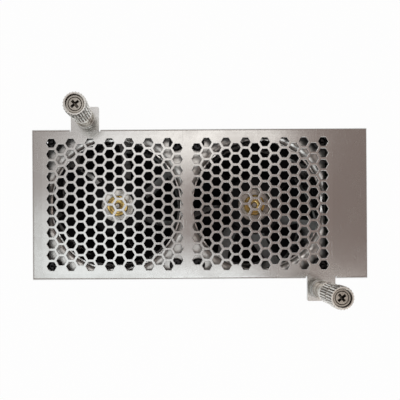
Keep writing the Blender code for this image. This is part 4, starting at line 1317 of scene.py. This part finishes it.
@dataclass
class AxialFan(Module):
    """One fan: housing, bladed wheel, rotor cup, bush, spindle and the four long screws."""

    size: float = 80.0 * MM
    rear: float = 1.5 * MM
    front: float = 39.5 * MM
    flange: float = 4.0 * MM
    corner: float = 3.6 * MM
    bore: float = 38.4 * MM
    barrel: float = 39.8 * MM
    land_depth: float = 2.6 * MM
    land: float = 0.6 * MM
    bell_flare: float = 4.5 * MM
    bell_side: float = 38.8 * MM
    hole: float = 35.75 * MM
    drill: float = 2.2 * MM
    drill_middle: float = 20.0 * MM
    drill_length: float = 100.0 * MM
    base: float = 17.0 * MM
    base_rear: float = 1.8 * MM
    base_top: float = 4.8 * MM
    spider_top: float = 6.0 * MM
    strut_width: float = 3.2 * MM
    strut_foot: float = 5.0 * MM
    strut_round: float = 0.8 * MM
    board_well: float = 14.8 * MM
    tube_well: float = 5.5 * MM
    tube_floor: float = 2.8 * MM
    hub: float = 18.0 * MM
    hub_bore: float = 16.2 * MM
    hub_window: float = 10.0 * MM
    hub_top: float = 33.5 * MM
    hub_rear: float = 9.5 * MM
    hub_wall: float = 1.8 * MM
    tip: float = 37.5 * MM
    blades: int = 7
    blade_grid: tuple[int, int] = (12, 14)
    blade_thickness: float = 2.0 * MM
    blade_rim: float = 0.35
    blade_taper: float = 0.44
    blade_inset: float = 0.6 * MM
    blade_bow: float = 0.35
    sweep_root: float = math.radians(40)
    sweep_tip: float = math.radians(48)
    skew: float = math.radians(10)
    cup: float = 15.9 * MM
    cup_wall: float = 1.0 * MM
    cup_top: float = 31.4 * MM
    bush: float = 5.0 * MM
    bush_head: float = 6.4 * MM
    bush_seat: float = 31.7 * MM
    bush_top: float = 32.9 * MM
    bush_rear: float = 26.7 * MM
    shaft: float = 1.5 * MM
    shaft_rear: float = 3.4 * MM
    groove: float = 1.0 * MM
    screw: float = 1.9 * MM
    screw_head: float = 4.0 * MM
    axes: Point = FAN_AXES
    past: float = 1.0 * MM

    def corners(self) -> list[Point]:
        """Where the four screws are, from the fan's axis."""
        at = self.hole
        return [(at, at), (-at, at), (-at, -at), (at, -at)]

    def _flange(self, low: float, high: float) -> Piece:
        """Makes one of the housing's two square flanges.

        Args:
            low: Height of its lower face.
            high: Height of its upper face.

        Returns:
            The flange, not yet bored.
        """
        half = self.size / 2
        plate = Bench.block("flange", (-half, -half, low), (half, half, high))
        Bench.edit(plate)
        Bench.pick(plate, Part.EDGES, lambda edge: runs_along(edge, 2))
        bpy.ops.mesh.bevel(offset=self.corner, segments=10, affect="EDGES")
        Bench.rest()
        Bench.soften(plate, 0.25 * MM, 2, 60.0)
        return plate

    def _bell(self) -> Piece:
        """Makes the flare at the inlet, cut off square where the sides leave no room for it.

        Returns:
            The cutter for the flare.
        """
        low = self.front - self.land_depth
        steps = 9
        inner = self.bore + self.land
        profile = [(self.bore - 0.3 * MM, low), (inner, low)]
        for step in range(1, steps + 1):
            angle = QUARTER_TURN * step / steps
            out = (self.bell_flare - self.land) * (1 - math.cos(angle))
            profile.append((inner + out, low + self.land_depth * math.sin(angle)))
        profile.append((self.bore + self.bell_flare, self.front + 2 * self.past))
        bell = Bench.turned("bell", profile, 128)
        side = self.bell_side
        foot, top = low - 2 * self.past, self.front + self.past
        limit = Bench.block("limit", (-side, -side, foot), (side, side, top))
        Bench.carve(bell, Cut.WITHIN, limit)
        return bell

    def _strut(self) -> Piece:
        """Makes the strut along X from the motor's base to the barrel.

        Returns:
            The strut, wider at the barrel and rounded along its edges.
        """
        inner = self.base - 3 * MM
        outer = self.bore + 0.7 * MM
        half = self.strut_width / 2
        strut = Bench.block("strut", (inner, -half, self.base_rear), (outer, half, self.spider_top))
        Bench.edit(strut)
        Bench.pick(strut, Part.CORNERS, lambda corner: corner.co.x > outer - SLACK)
        wider = (1, self.strut_foot / self.strut_width, 1)
        bpy.ops.transform.resize(value=wider, center_override=(outer, 0, self.base_rear))
        Bench.pick(strut, Part.EDGES, lambda edge: runs_along(edge, 0))
        bpy.ops.mesh.bevel(offset=self.strut_round, segments=4, affect="EDGES")
        Bench.rest()
        return strut

    def build_housing(self) -> Piece:
        """Builds the housing round the Z axis.

        Returns:
            The housing.
        """
        body = self._flange(self.rear, self.rear + self.flange)
        Bench.carve(body, Cut.WITH, self._flange(self.front - self.flange, self.front))
        middle = self.flange / 2
        barrel = Bench.turned(
            "barrel", [(self.barrel, self.rear + middle), (self.barrel, self.front - middle)], 128
        )
        Bench.carve(body, Cut.WITH, barrel)
        ends = [(self.bore, -self.past), (self.bore, self.front + 2 * self.past)]
        through = Bench.turned("bore", ends, 128)
        Bench.carve(body, Cut.AWAY, through)
        Bench.carve(body, Cut.AWAY, self._bell())
        disc = Bench.turned(
            "disc",
            [
                (self.base - 0.4 * MM, self.base_rear),
                (self.base, self.base_rear + 0.4 * MM),
                (self.base, self.spider_top - 0.3 * MM),
                (self.base - 0.3 * MM, self.spider_top),
            ],
            96,
        )
        strut = self._strut()
        for arm in range(4):
            turn = (0, 0, math.radians(45 + 90 * arm))
            Bench.carve(disc, Cut.WITH, Bench.copy(strut, "arm", turn=turn))
        Bench.drop(strut)
        for well, floor in ((self.board_well, self.base_top), (self.tube_well, self.tube_floor)):
            ends = [(well, floor), (well, self.spider_top + self.past)]
            tool = Bench.turned("well", ends, 64)
            Bench.carve(disc, Cut.AWAY, tool)
        Bench.carve(body, Cut.WITH, disc)
        for x, y in self.corners():
            place = (x, y, self.drill_middle)
            Bench.carve(body, Cut.AWAY, Bench.rod("hole", self.drill, 32, place, self.drill_length))
        return body

    def _blade(self, root: float) -> Piece:
        """Makes one blade: a flat sheet swept round the axis, then given a wall.

        Each corner of the sheet is turned about the axis by itself, and the wall thins towards
        the blade's edges and its tip.

        Args:
            root: Radius at which the blade starts, inside the hub's wall.

        Returns:
            The blade.
        """
        top = self.hub_top - self.blade_inset
        low = self.hub_rear + self.blade_inset
        centre = ((root + self.tip) / 2, 0, (top + low) / 2)
        Bench.rest()
        bpy.ops.mesh.primitive_grid_add(
            x_subdivisions=self.blade_grid[0],
            y_subdivisions=self.blade_grid[1],
            size=1.0,
            location=centre,
            rotation=(QUARTER_TURN, 0, 0),
        )
        blade = Bench.settle("blade")
        Bench.edit(blade)
        bpy.ops.transform.resize(value=(self.tip - root, 1, top - low), center_override=centre)
        Bench.rest()
        group = blade.vertex_groups.new(name="wall")
        swept = []
        for corner in blade.data.vertices:
            out = max(0.0, (corner.co.x - root) / (self.tip - root))
            along = (top - corner.co.z) / (top - low)
            middle = 1 - (2 * along - 1) ** 4
            share = self.blade_rim + (1 - self.blade_rim) * middle
            group.add([corner.index], share * (1 - self.blade_taper * out), "REPLACE")
            sweep = self.sweep_root + (self.sweep_tip - self.sweep_root) * out
            bow = self.blade_bow * along * (1 - along)
            swept.append(self.skew * out ** 1.6 + sweep * (along - 0.5 - bow))
        Bench.edit(blade)
        for number, angle in enumerate(swept):
            Bench.pick(blade, Part.CORNERS, lambda corner: corner.index == number)
            Bench.swing(angle)
        Bench.rest()
        wall = blade.modifiers.new("wall", "SOLIDIFY")
        wall.thickness = self.blade_thickness
        wall.offset = 0.0
        wall.vertex_group = "wall"
        Bench.apply(blade)
        Bench.soften(blade, 0.15 * MM, 2, 60.0)
        facets = blade.modifiers.new("facets", "TRIANGULATE")
        facets.quad_method = "FIXED"
        Bench.apply(blade)
        return blade

    def build_wheel(self) -> Piece:
        """Builds the bladed wheel round the Z axis.

        Returns:
            The wheel.
        """
        root = (self.hub_bore + self.hub) / 2
        pattern = self._blade(root)
        copies = [
            Bench.copy(pattern, f"blade_{number}", turn=(0, 0, FULL_TURN * number / self.blades))
            for number in range(self.blades)
        ]
        Bench.drop(pattern)
        ring_of_blades = Bench.join(copies)
        round_edge = 1.5 * MM
        steps = 6
        profile = [(self.hub_bore, self.hub_rear), (self.hub - 0.3 * MM, self.hub_rear)]
        profile.append((self.hub, self.hub_rear + 0.3 * MM))
        for step in range(steps + 1):
            angle = QUARTER_TURN * step / steps
            profile.append(
                (
                    self.hub - round_edge * (1 - math.cos(angle)),
                    self.hub_top - round_edge * (1 - math.sin(angle)),
                )
            )
        profile += [
            (self.hub_window + 0.4 * MM, self.hub_top),
            (self.hub_window, self.hub_top - 0.4 * MM),
            (self.hub_window, self.hub_top - self.hub_wall),
            (self.hub_bore, self.hub_top - self.hub_wall),
        ]
        wheel = Bench.turned("wheel", profile, 112, solid=False)
        Bench.carve(wheel, Cut.WITH, ring_of_blades)
        return wheel

    def build_cup(self) -> Piece:
        """Builds the steel cup inside the wheel's hub.

        Returns:
            The cup.
        """
        opening = self.bush + 0.3 * MM
        inner = self.cup - self.cup_wall
        rear = self.hub_rear + 0.3 * MM
        profile = [
            (inner, rear),
            (self.cup, rear),
            (self.cup, self.cup_top - 0.8 * MM),
            (self.cup - 0.25 * MM, self.cup_top - 0.25 * MM),
            (self.cup - 0.8 * MM, self.cup_top),
            (opening, self.cup_top),
            (opening, self.cup_top - self.cup_wall),
            (inner, self.cup_top - self.cup_wall),
        ]
        return Bench.turned("cup", profile, 96, solid=False)

    def build_bush(self) -> Piece:
        """Builds the brass bush, dished round the spindle.

        Returns:
            The bush.
        """
        bore = self.shaft + 0.3 * MM
        profile = [
            (bore, self.bush_rear),
            (self.bush, self.bush_rear),
            (self.bush, self.bush_seat),
            (self.bush_head - 0.15 * MM, self.bush_seat),
            (self.bush_head, self.bush_seat + 0.15 * MM),
            (self.bush_head, self.bush_top - 0.35 * MM),
            (self.bush_head - 0.35 * MM, self.bush_top),
            (self.bush_head - 1.5 * MM, self.bush_top),
            (self.bush_head - 2.0 * MM, self.bush_top - 0.45 * MM),
            (bore + 0.7 * MM, self.bush_top - 0.45 * MM),
            (bore, self.bush_top - 0.9 * MM),
        ]
        return Bench.turned("bush", profile, 72, solid=False)

    def build_spindle(self) -> Piece:
        """Builds the spindle with its clip groove.

        Returns:
            The spindle.
        """
        low = self.shaft_rear + 0.3 * MM
        profile = [
            (self.shaft - 0.25 * MM, self.shaft_rear),
            (self.shaft, self.shaft_rear + 0.2 * MM),
            (self.shaft, low),
            (self.groove, low),
            (self.groove, low + 1.1 * MM),
            (self.shaft, low + 1.1 * MM),
            (self.shaft, self.bush_top - 0.6 * MM),
            (self.shaft - 0.3 * MM, self.bush_top - 0.3 * MM),
        ]
        return Bench.turned("spindle", profile, 40)

    def build_screw(self) -> Piece:
        """Builds one long pan-head screw.

        Returns:
            The screw.
        """
        under = self.front + 0.3 * MM
        head = self.screw_head
        profile = [
            (self.screw - 0.5 * MM, 0.3 * MM),
            (self.screw, 0.8 * MM),
            (self.screw, under),
            (head - 0.1 * MM, under),
            (head, under + 0.1 * MM),
            (head, under + 1.1 * MM),
            (head - 0.25 * MM, under + 1.7 * MM),
            (head - 0.8 * MM, under + 2.15 * MM),
            (head - 1.6 * MM, under + 2.4 * MM),
        ]
        screw = Bench.turned("fan_screw", profile, 48)
        Bench.cross_recess(screw, 4.4 * MM, 1.0 * MM, under + 2.4 * MM, 1.6 * MM)
        return screw

    def build(self) -> None:
        """Builds both fans."""
        still = {"housing": (self.build_housing(), CAST, "frame")}
        spinning = {
            "wheel": (self.build_wheel(), BLACK, "impeller"),
            "cup": (self.build_cup(), BRIGHT, "rotor_cup"),
            "bush": (self.build_bush(), BRASS, "shaft_bush"),
            "spindle": (self.build_spindle(), BRIGHT, "shaft"),
        }
        screw = self.build_screw()
        for number, x in enumerate(self.axes, start=1):
            for pieces, body in ((still, "root"), (spinning, f"fan_{number}_rotor")):
                for name, (pattern, finish, node) in pieces.items():
                    piece = Bench.copy(pattern, f"fan_{number}_{name}_shape", (x, 0, 0))
                    Bench.smooth(piece, 35.0)
                    self.dress(piece, finish.at(x, 0.0), body, [f"fan_{number}_{node}"])
            for corner, (across, along) in enumerate(self.corners(), start=1):
                place = (x + across, along, 0)
                piece = Bench.copy(screw, f"fan_{number}_long_screw_{corner}", place)
                Bench.smooth(piece)
                self.dress(piece, BLACKED, "root", [f"fan_{number}_screw_{corner}"])
        Bench.drop(screw, *(pattern for pattern, _, _ in [*still.values(), *spinning.values()]))


@dataclass
class CaptiveThumbscrew(Module):
    """A spring-loaded thumbscrew: ferrule, spring, washer, knurled knob and captive screw."""

    ferrule_foot: float = 43.8 * MM
    seat: float = 44.8 * MM
    flange_top: float = 46.0 * MM
    ferrule_top: float = 54.0 * MM
    spigot: float = 3.6 * MM
    flange: float = 5.75 * MM
    tube: float = 4.0 * MM
    guide: float = 2.3 * MM
    neck_hole: float = 1.8 * MM
    pocket: float = 3.0 * MM
    shoulder_low: float = 49.0 * MM
    shoulder_top: float = 50.0 * MM
    wire: float = 0.6 * MM
    coil: float = 2.4 * MM
    spring_foot: float = 50.3 * MM
    spring_top: float = 60.6 * MM
    coils: float = 6.0
    spring_rest_share: float = 0.417
    washer_low: float = 60.9 * MM
    washer_top: float = 61.5 * MM
    washer: float = 4.0 * MM
    knob_foot: float = 52.3 * MM
    barrel_top: float = 59.9 * MM
    head_low: float = 61.5 * MM
    knob_top: float = 66.5 * MM
    barrel: float = 5.8 * MM
    neck: float = 5.2 * MM
    head: float = 6.25 * MM
    cavity: float = 4.3 * MM
    cavity_top: float = 61.8 * MM
    well: float = 4.9 * MM
    web_top: float = 62.9 * MM
    teeth: int = 24
    tooth_depth: float = 0.50 * MM
    collar: float = 1.6 * MM
    disc: float = 4.6 * MM
    disc_low: float = 63.2 * MM
    disc_top: float = 65.7 * MM
    thread: float = 2.0 * MM
    thread_core: float = 1.6 * MM
    thread_pitch: float = 0.7 * MM
    tip: float = 43.6 * MM
    thread_top: float = 48.7 * MM
    screw_neck: float = 1.5 * MM
    recess: Place = (5.0 * MM, 1.4 * MM, 1.8 * MM)
    recess_turn: float = math.radians(40)
    axes: tuple[Point, ...] = EARS

    def build_ferrule(self) -> Piece:
        """Builds the ferrule pressed into the ear.

        Returns:
            The ferrule.
        """
        edge = 0.25 * MM
        profile = [
            (self.guide, self.ferrule_foot),
            (self.spigot - edge, self.ferrule_foot),
            (self.spigot, self.ferrule_foot + edge),
            (self.spigot, self.seat),
            (self.flange - edge, self.seat),
            (self.flange, self.seat + edge),
            (self.flange, self.flange_top - edge),
            (self.flange - edge, self.flange_top),
            (self.tube + 0.3 * MM, self.flange_top),
            (self.tube, self.flange_top + 0.3 * MM),
            (self.tube, self.ferrule_top - edge),
            (self.tube - edge, self.ferrule_top),
            (self.pocket, self.ferrule_top),
            (self.pocket, self.shoulder_top),
            (self.neck_hole, self.shoulder_top),
            (self.neck_hole, self.shoulder_low),
            (self.guide, self.shoulder_low),
        ]
        return Bench.turned("ferrule", profile, 64, solid=False)

    def build_spring(self) -> Piece:
        """Builds the compression spring.

        Returns:
            The spring.
        """
        half = self.wire / 2
        sides = 10
        section = [
            (
                self.coil + half * math.cos(FULL_TURN * side / sides),
                half * math.sin(FULL_TURN * side / sides),
            )
            for side in range(sides)
        ]
        rise = self.spring_top - self.spring_foot - self.wire
        return Bench.helix("spring", section, self.spring_foot + half, rise, self.coils)

    def build_washer(self) -> Piece:
        """Builds the washer that the spring pushes.

        Returns:
            The washer.
        """
        edge = 0.12 * MM
        profile = [
            (self.neck_hole, self.washer_low),
            (self.washer - edge, self.washer_low),
            (self.washer, self.washer_low + edge),
            (self.washer, self.washer_top - edge),
            (self.washer - edge, self.washer_top),
            (self.neck_hole, self.washer_top),
        ]
        return Bench.turned("washer", profile, 48, solid=False)

    def build_knob(self) -> Piece:
        """Builds the hollow knob, turned first and then knurled along its barrel and head.

        Returns:
            The knob.
        """
        edge = 0.5 * MM
        fine = 0.25 * MM
        profile = [
            (self.cavity, self.knob_foot),
            (self.barrel - edge, self.knob_foot),
            (self.barrel, self.knob_foot + edge),
            (self.barrel, self.knob_foot + self.collar),
            (self.barrel, self.knob_foot + self.collar + fine),
            (self.barrel, self.barrel_top - fine),
            (self.barrel - fine, self.barrel_top),
            (self.neck, self.barrel_top),
            (self.neck, self.head_low),
            (self.head - fine, self.head_low),
            (self.head, self.head_low + fine),
            (self.head, self.knob_top - edge),
            (self.head - edge, self.knob_top),
            (self.well + 0.2 * MM, self.knob_top),
            (self.well, self.knob_top - 0.2 * MM),
            (self.well, self.web_top),
            (self.neck_hole, self.web_top),
            (self.neck_hole, self.cavity_top),
            (self.cavity, self.cavity_top),
        ]
        facets = 4 * self.teeth
        knob = Bench.turned("knob", profile, facets, solid=False)
        slack = 0.02 * MM

        def in_groove(corner: bmesh.types.BMVert) -> bool:
            """Tells whether a corner is at the bottom of a groove.

            Args:
                corner: The corner.

            Returns:
                Whether it is.
            """
            radius = math.hypot(corner.co.x, corner.co.y)
            on_barrel = self.knob_foot + self.collar + slack < corner.co.z < self.barrel_top
            on_barrel = on_barrel and radius > self.barrel - slack
            knurled = on_barrel or radius > self.head - slack
            step = round((math.atan2(corner.co.y, corner.co.x) % FULL_TURN) / FULL_TURN * facets)
            return knurled and step % 4 in (0, 1)

        Bench.edit(knob)
        Bench.pick(knob, Part.CORNERS, in_groove)
        scale = 1 - self.tooth_depth / self.head
        bpy.ops.transform.resize(value=(scale, scale, 1), center_override=(0, 0, self.knob_foot))
        Bench.rest()
        return knob

    def build_screw(self) -> Piece:
        """Builds the captive screw: drive disc, thin neck and threaded end.

        Returns:
            The screw.
        """
        edge = 0.2 * MM
        profile = [
            (self.thread_core - 0.4 * MM, self.tip),
            (self.thread_core, self.tip + 0.4 * MM),
            (self.thread_core, self.thread_top),
            (self.screw_neck, self.thread_top),
            (self.screw_neck, self.disc_low),
            (self.disc - edge, self.disc_low),
            (self.disc, self.disc_low + edge),
            (self.disc, self.disc_top - edge),
            (self.disc - edge, self.disc_top),
            (self.disc - 0.9 * MM, self.disc_top),
            (self.disc - 1.15 * MM, self.disc_top - 0.3 * MM),
            (self.disc - 1.4 * MM, self.disc_top),
        ]
        screw = Bench.turned("screw", profile, 64)
        length, width, depth = self.recess
        Bench.cross_recess(screw, length, width, self.disc_top, depth)
        ridge = self.thread - self.thread_core
        flank = 0.26 * MM
        section = [
            (self.thread_core - 0.05 * MM, -flank),
            (self.thread_core + ridge, -0.04 * MM),
            (self.thread_core + ridge, 0.04 * MM),
            (self.thread_core - 0.05 * MM, flank),
        ]
        foot = self.tip + 0.4 * MM
        climb = self.thread_top - foot - flank
        thread = Bench.helix("thread", section, foot, climb, climb / self.thread_pitch)
        whole = Bench.join([screw, thread])
        Bench.edit(whole)
        Bench.swing(self.recess_turn)
        Bench.rest()
        return whole

    def build(self) -> None:
        """Builds both thumbscrews."""
        patterns = {
            "ferrule": (self.build_ferrule(), "root", BRIGHT),
            "spring": (self.build_spring(), "carrier", BRIGHT),
            "washer": (self.build_washer(), "carrier", BRIGHT),
            "knob": (self.build_knob(), "knob", KNURLED),
            "screw": (self.build_screw(), "knob", DRIVE),
        }
        for number, (x, y) in enumerate(self.axes, start=1):
            for node, (pattern, part, finish) in patterns.items():
                body = "root" if part == "root" else f"thumbscrew_{number}_{part}"
                piece = Bench.copy(pattern, f"thumbscrew_{number}_{node}_shape", (x, y, 0))
                Bench.smooth(piece, 38.0, weighted=node != "spring")
                self.dress(piece, finish.at(x, y), body, [f"thumbscrew_{number}_{node}"])
                if node == "spring":
                    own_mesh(piece)
        Bench.drop(*(pattern for pattern, _, _ in patterns.values()))


@dataclass(frozen=True)
class Lamp:
    """One soft rectangular lamp that faces down.

    Attributes:
        across: Its left and right edges.
        along: Its near and far edges.
        colour: Its tint.
        radiance: How bright its face is.
    """

    across: Point
    along: Point
    colour: Colour
    radiance: float


@dataclass
class Studio:
    """The floor, the lamps, the world and the camera."""

    camera_at: Place = (-0.0214, -0.0131, 0.2295)
    lens: float = 28.8
    sensor: float = 36.0
    shift: Point = (0.0925, 0.067)
    roll: float = math.radians(-0.35)
    near: float = 0.01
    floor_size: float = 3.0
    floor_drop: float = 0.4 * MM
    dark_half: Point = (94.5 * MM, 41.0 * MM)
    world_colour: Colour = (0.265, 0.204, 0.182)
    wall_colour: Colour = (0.86, 0.86, 0.85)
    wall_ends: Point = (0.10, 0.42)
    floor_glow: float = 0.97
    lamp_height: float = 0.60
    lamps: tuple[Lamp, ...] = (
        Lamp((-0.22, -0.06), (0.02, 0.44), (0.95, 0.99, 1.0), 0.93),
        Lamp((-0.36, -0.06), (-0.44, 0.02), (0.90, 0.985, 1.0), 1.03),
        Lamp((-0.06, 0.255), (0.135, 0.44), (1.0, 0.995, 0.96), 1.30),
        Lamp((-0.06, 0.205), (-0.44, -0.110), (0.92, 0.985, 1.0), 1.66),
        Lamp((0.30, 0.50), (-0.33, -0.16), (1.0, 0.98, 0.93), 1.15),
        Lamp((-0.80, -0.36), (-0.44, 0.02), (0.86, 0.99, 1.0), 0.25),
        Lamp((-0.80, -0.22), (0.02, 0.44), (0.90, 0.99, 1.0), 0.16),
    )

    def build_floor(self) -> None:
        """Lays the floor, which the camera and mirrors see as white except under the module."""
        Bench.rest()
        bpy.ops.mesh.primitive_plane_add(size=self.floor_size, location=(0, 0, -self.floor_drop))
        floor = Bench.settle("floor")
        recipe = Recipe("pale_floor")
        ray = recipe.node("ShaderNodeLightPath")
        seen = (
            Wire(recipe, ray.outputs["Is Camera Ray"])
            + Wire(recipe, ray.outputs["Is Glossy Ray"])
            + Wire(recipe, ray.outputs["Is Transmission Ray"])
        ).held()
        across = recipe.coordinate(recipe.place(), "X")
        along = recipe.coordinate(recipe.place(), "Y")
        under_x = 1.0 - ((across * across) > self.dark_half[0] ** 2)
        under_y = 1.0 - ((along * along) > self.dark_half[1] ** 2)
        open_floor = 1.0 - under_x * under_y
        clouds = recipe.noise(recipe.place(), 9.0)
        shade = recipe.blend(clouds, (0.90,) * 3, (0.88,) * 3)
        matt = recipe.wire("ShaderNodeBsdfDiffuse", None, {"Color": shade})
        white = recipe.wire("ShaderNodeEmission", None, {"Color": (1, 1, 1, 1), "Strength": 1.0})
        share = seen * open_floor * self.floor_glow
        mixed = recipe.wire("ShaderNodeMixShader", None, {0: share, 1: matt, 2: white})
        recipe.node("ShaderNodeOutputMaterial", None, {"Surface": mixed})
        floor.data.materials.append(recipe.material)

    def build_lamps(self) -> None:
        """Hangs the soft lamps over the module."""
        for number, lamp in enumerate(self.lamps, start=1):
            width = lamp.across[1] - lamp.across[0]
            depth = lamp.along[1] - lamp.along[0]
            light = bpy.data.lights.new(f"soft_lamp_{number}", "AREA")
            light.shape = "RECTANGLE"
            light.size = width
            light.size_y = depth
            light.color = lamp.colour
            light.energy = lamp.radiance * math.pi * width * depth
            holder = bpy.data.objects.new(f"soft_lamp_{number}", light)
            holder.location = (sum(lamp.across) / 2, sum(lamp.along) / 2, self.lamp_height)
            bpy.context.scene.collection.objects.link(holder)

    def build_world(self) -> None:
        """Fills the room: pale walls low down, and a dull warm grey overhead."""
        world = bpy.data.worlds.new("room")
        world.use_nodes = True
        recipe = Recipe.on(world.node_tree)
        heading = recipe.wire("ShaderNodeTexCoord", out="Generated")
        rise = recipe.coordinate(heading, "Z")
        colour = recipe.blend(rise.above(*self.wall_ends), self.wall_colour, self.world_colour)
        light = recipe.wire("ShaderNodeBackground", None, {"Color": colour, "Strength": 1.0})
        recipe.node("ShaderNodeOutputWorld", None, {"Surface": light})
        bpy.context.scene.world = world

    def build_camera(self) -> None:
        """Sets the camera over the panel, looking straight down."""
        camera = bpy.data.cameras.new("camera")
        camera.lens = self.lens
        camera.sensor_width = self.sensor
        camera.shift_x, camera.shift_y = self.shift
        camera.clip_start = self.near
        holder = bpy.data.objects.new("camera", camera)
        holder.location = self.camera_at
        holder.rotation_euler = (0, 0, self.roll)
        bpy.context.scene.collection.objects.link(holder)
        bpy.context.scene.camera = holder
        bpy.context.scene.view_settings.view_transform = "Standard"

    def build(self) -> None:
        """Builds the whole studio."""
        self.build_floor()
        self.build_lamps()
        self.build_world()
        self.build_camera()


@dataclass
class RearContacts(Module):
    """The spring contacts in the rear connector's eight openings."""

    columns: int = 2
    rows: int = 4
    pitch: Point = (4.0 * MM, 6.0 * MM)
    width: float = 0.9 * MM
    thickness: float = 0.35 * MM
    rear: float = 0.9 * MM
    root: float = 4.4 * MM
    apart: float = 0.55 * MM
    bow: float = 0.35 * MM
    steps: int = 6

    def _contact(self) -> Piece:
        """Makes one pair of leaf springs that bow towards each other.

        Returns:
            The pair, round the Z axis.
        """
        leaves = []
        for side in (-1, 1):
            near, far = sorted((side * self.apart, side * (self.apart + self.thickness)))
            half = self.width / 2
            leaf = Bench.block("leaf", (near, -half, self.rear), (far, half, self.root))
            Bench.edit(leaf)
            Bench.pick(leaf, Part.EDGES, lambda edge: runs_along(edge, 2))
            bpy.ops.mesh.subdivide(number_cuts=self.steps - 1)
            for number in range(self.steps + 1):
                height = self.rear + (self.root - self.rear) * number / self.steps
                Bench.pick(leaf, Part.CORNERS, lambda corner: abs(corner.co.z - height) < SLACK)
                bulge = math.sin(math.pi * number / self.steps)
                bpy.ops.transform.translate(value=(-side * self.bow * bulge, 0, 0))
            Bench.rest()
            Bench.soften(leaf, 0.08 * MM, 2, 60.0)
            leaves.append(leaf)
        return Bench.join(leaves)

    def build(self, bay: float) -> None:
        """Builds the contacts.

        Args:
            bay: X of the bay's middle.
        """
        pattern = self._contact()
        contacts = []
        for column in range(self.columns):
            for row in range(self.rows):
                x = bay + (column - (self.columns - 1) / 2) * self.pitch[0]
                y = (row - (self.rows - 1) / 2) * self.pitch[1]
                contacts.append(Bench.copy(pattern, f"contact_{column}_{row}", (x, y, 0)))
        Bench.drop(pattern)
        piece = Bench.join(contacts)
        piece.name = "rear_contacts"
        piece.data.name = "rear_contacts"
        Bench.smooth(piece)
        self.dress(piece, BRASS.at(bay, 0.0), "root")


class InnerPieces(Module):
    """The CAD nodes whose own shape is kept: motor insides and the bay's board."""

    FINISHES = {
        "rear_bearing": BRIGHT, "front_bearing": BRIGHT, "bearing_tube": BRASS, "stator_core": DARK,
        "winding": COPPER, "motor_board": BOARD, "magnet_ring": FERRITE, "shaft_clip": DARK,
    }
    BAY = {
        "interface_board": BOARD, "rear_connector": BLACK,
        "board_standoff_1": BRIGHT, "board_standoff_2": BRIGHT,
        "board_screw_1": BRIGHT, "board_screw_2": BRIGHT,
        "fan_socket_1": NYLON, "fan_socket_2": NYLON,
    }

    def build(self, fan_axes: Point, bay: float) -> None:
        """Gives each kept node its finish.

        Args:
            fan_axes: X of each fan's axis.
            bay: X of the bay's middle.
        """
        for number, x in enumerate(fan_axes, start=1):
            for node, finish in self.FINISHES.items():
                self.coat(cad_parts[f"fan_{number}_{node}"], finish.at(x, 0.0))
        for node, finish in self.BAY.items():
            self.coat(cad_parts[node], finish.at(bay, 0.0))


def main() -> None:
    """Builds the sub-assemblies in order and reports each."""
    logging.basicConfig(level=logging.INFO, format="%(name)s: %(message)s")
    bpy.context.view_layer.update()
    fan = AxialFan()
    case = Case()
    case.build(fan.corners())
    fan.build()
    CaptiveThumbscrew().build()
    RearContacts().build(case.bay)
    InnerPieces().build(fan.axes, case.bay)
    Studio().build()


if __name__ == "__main__":
    main()
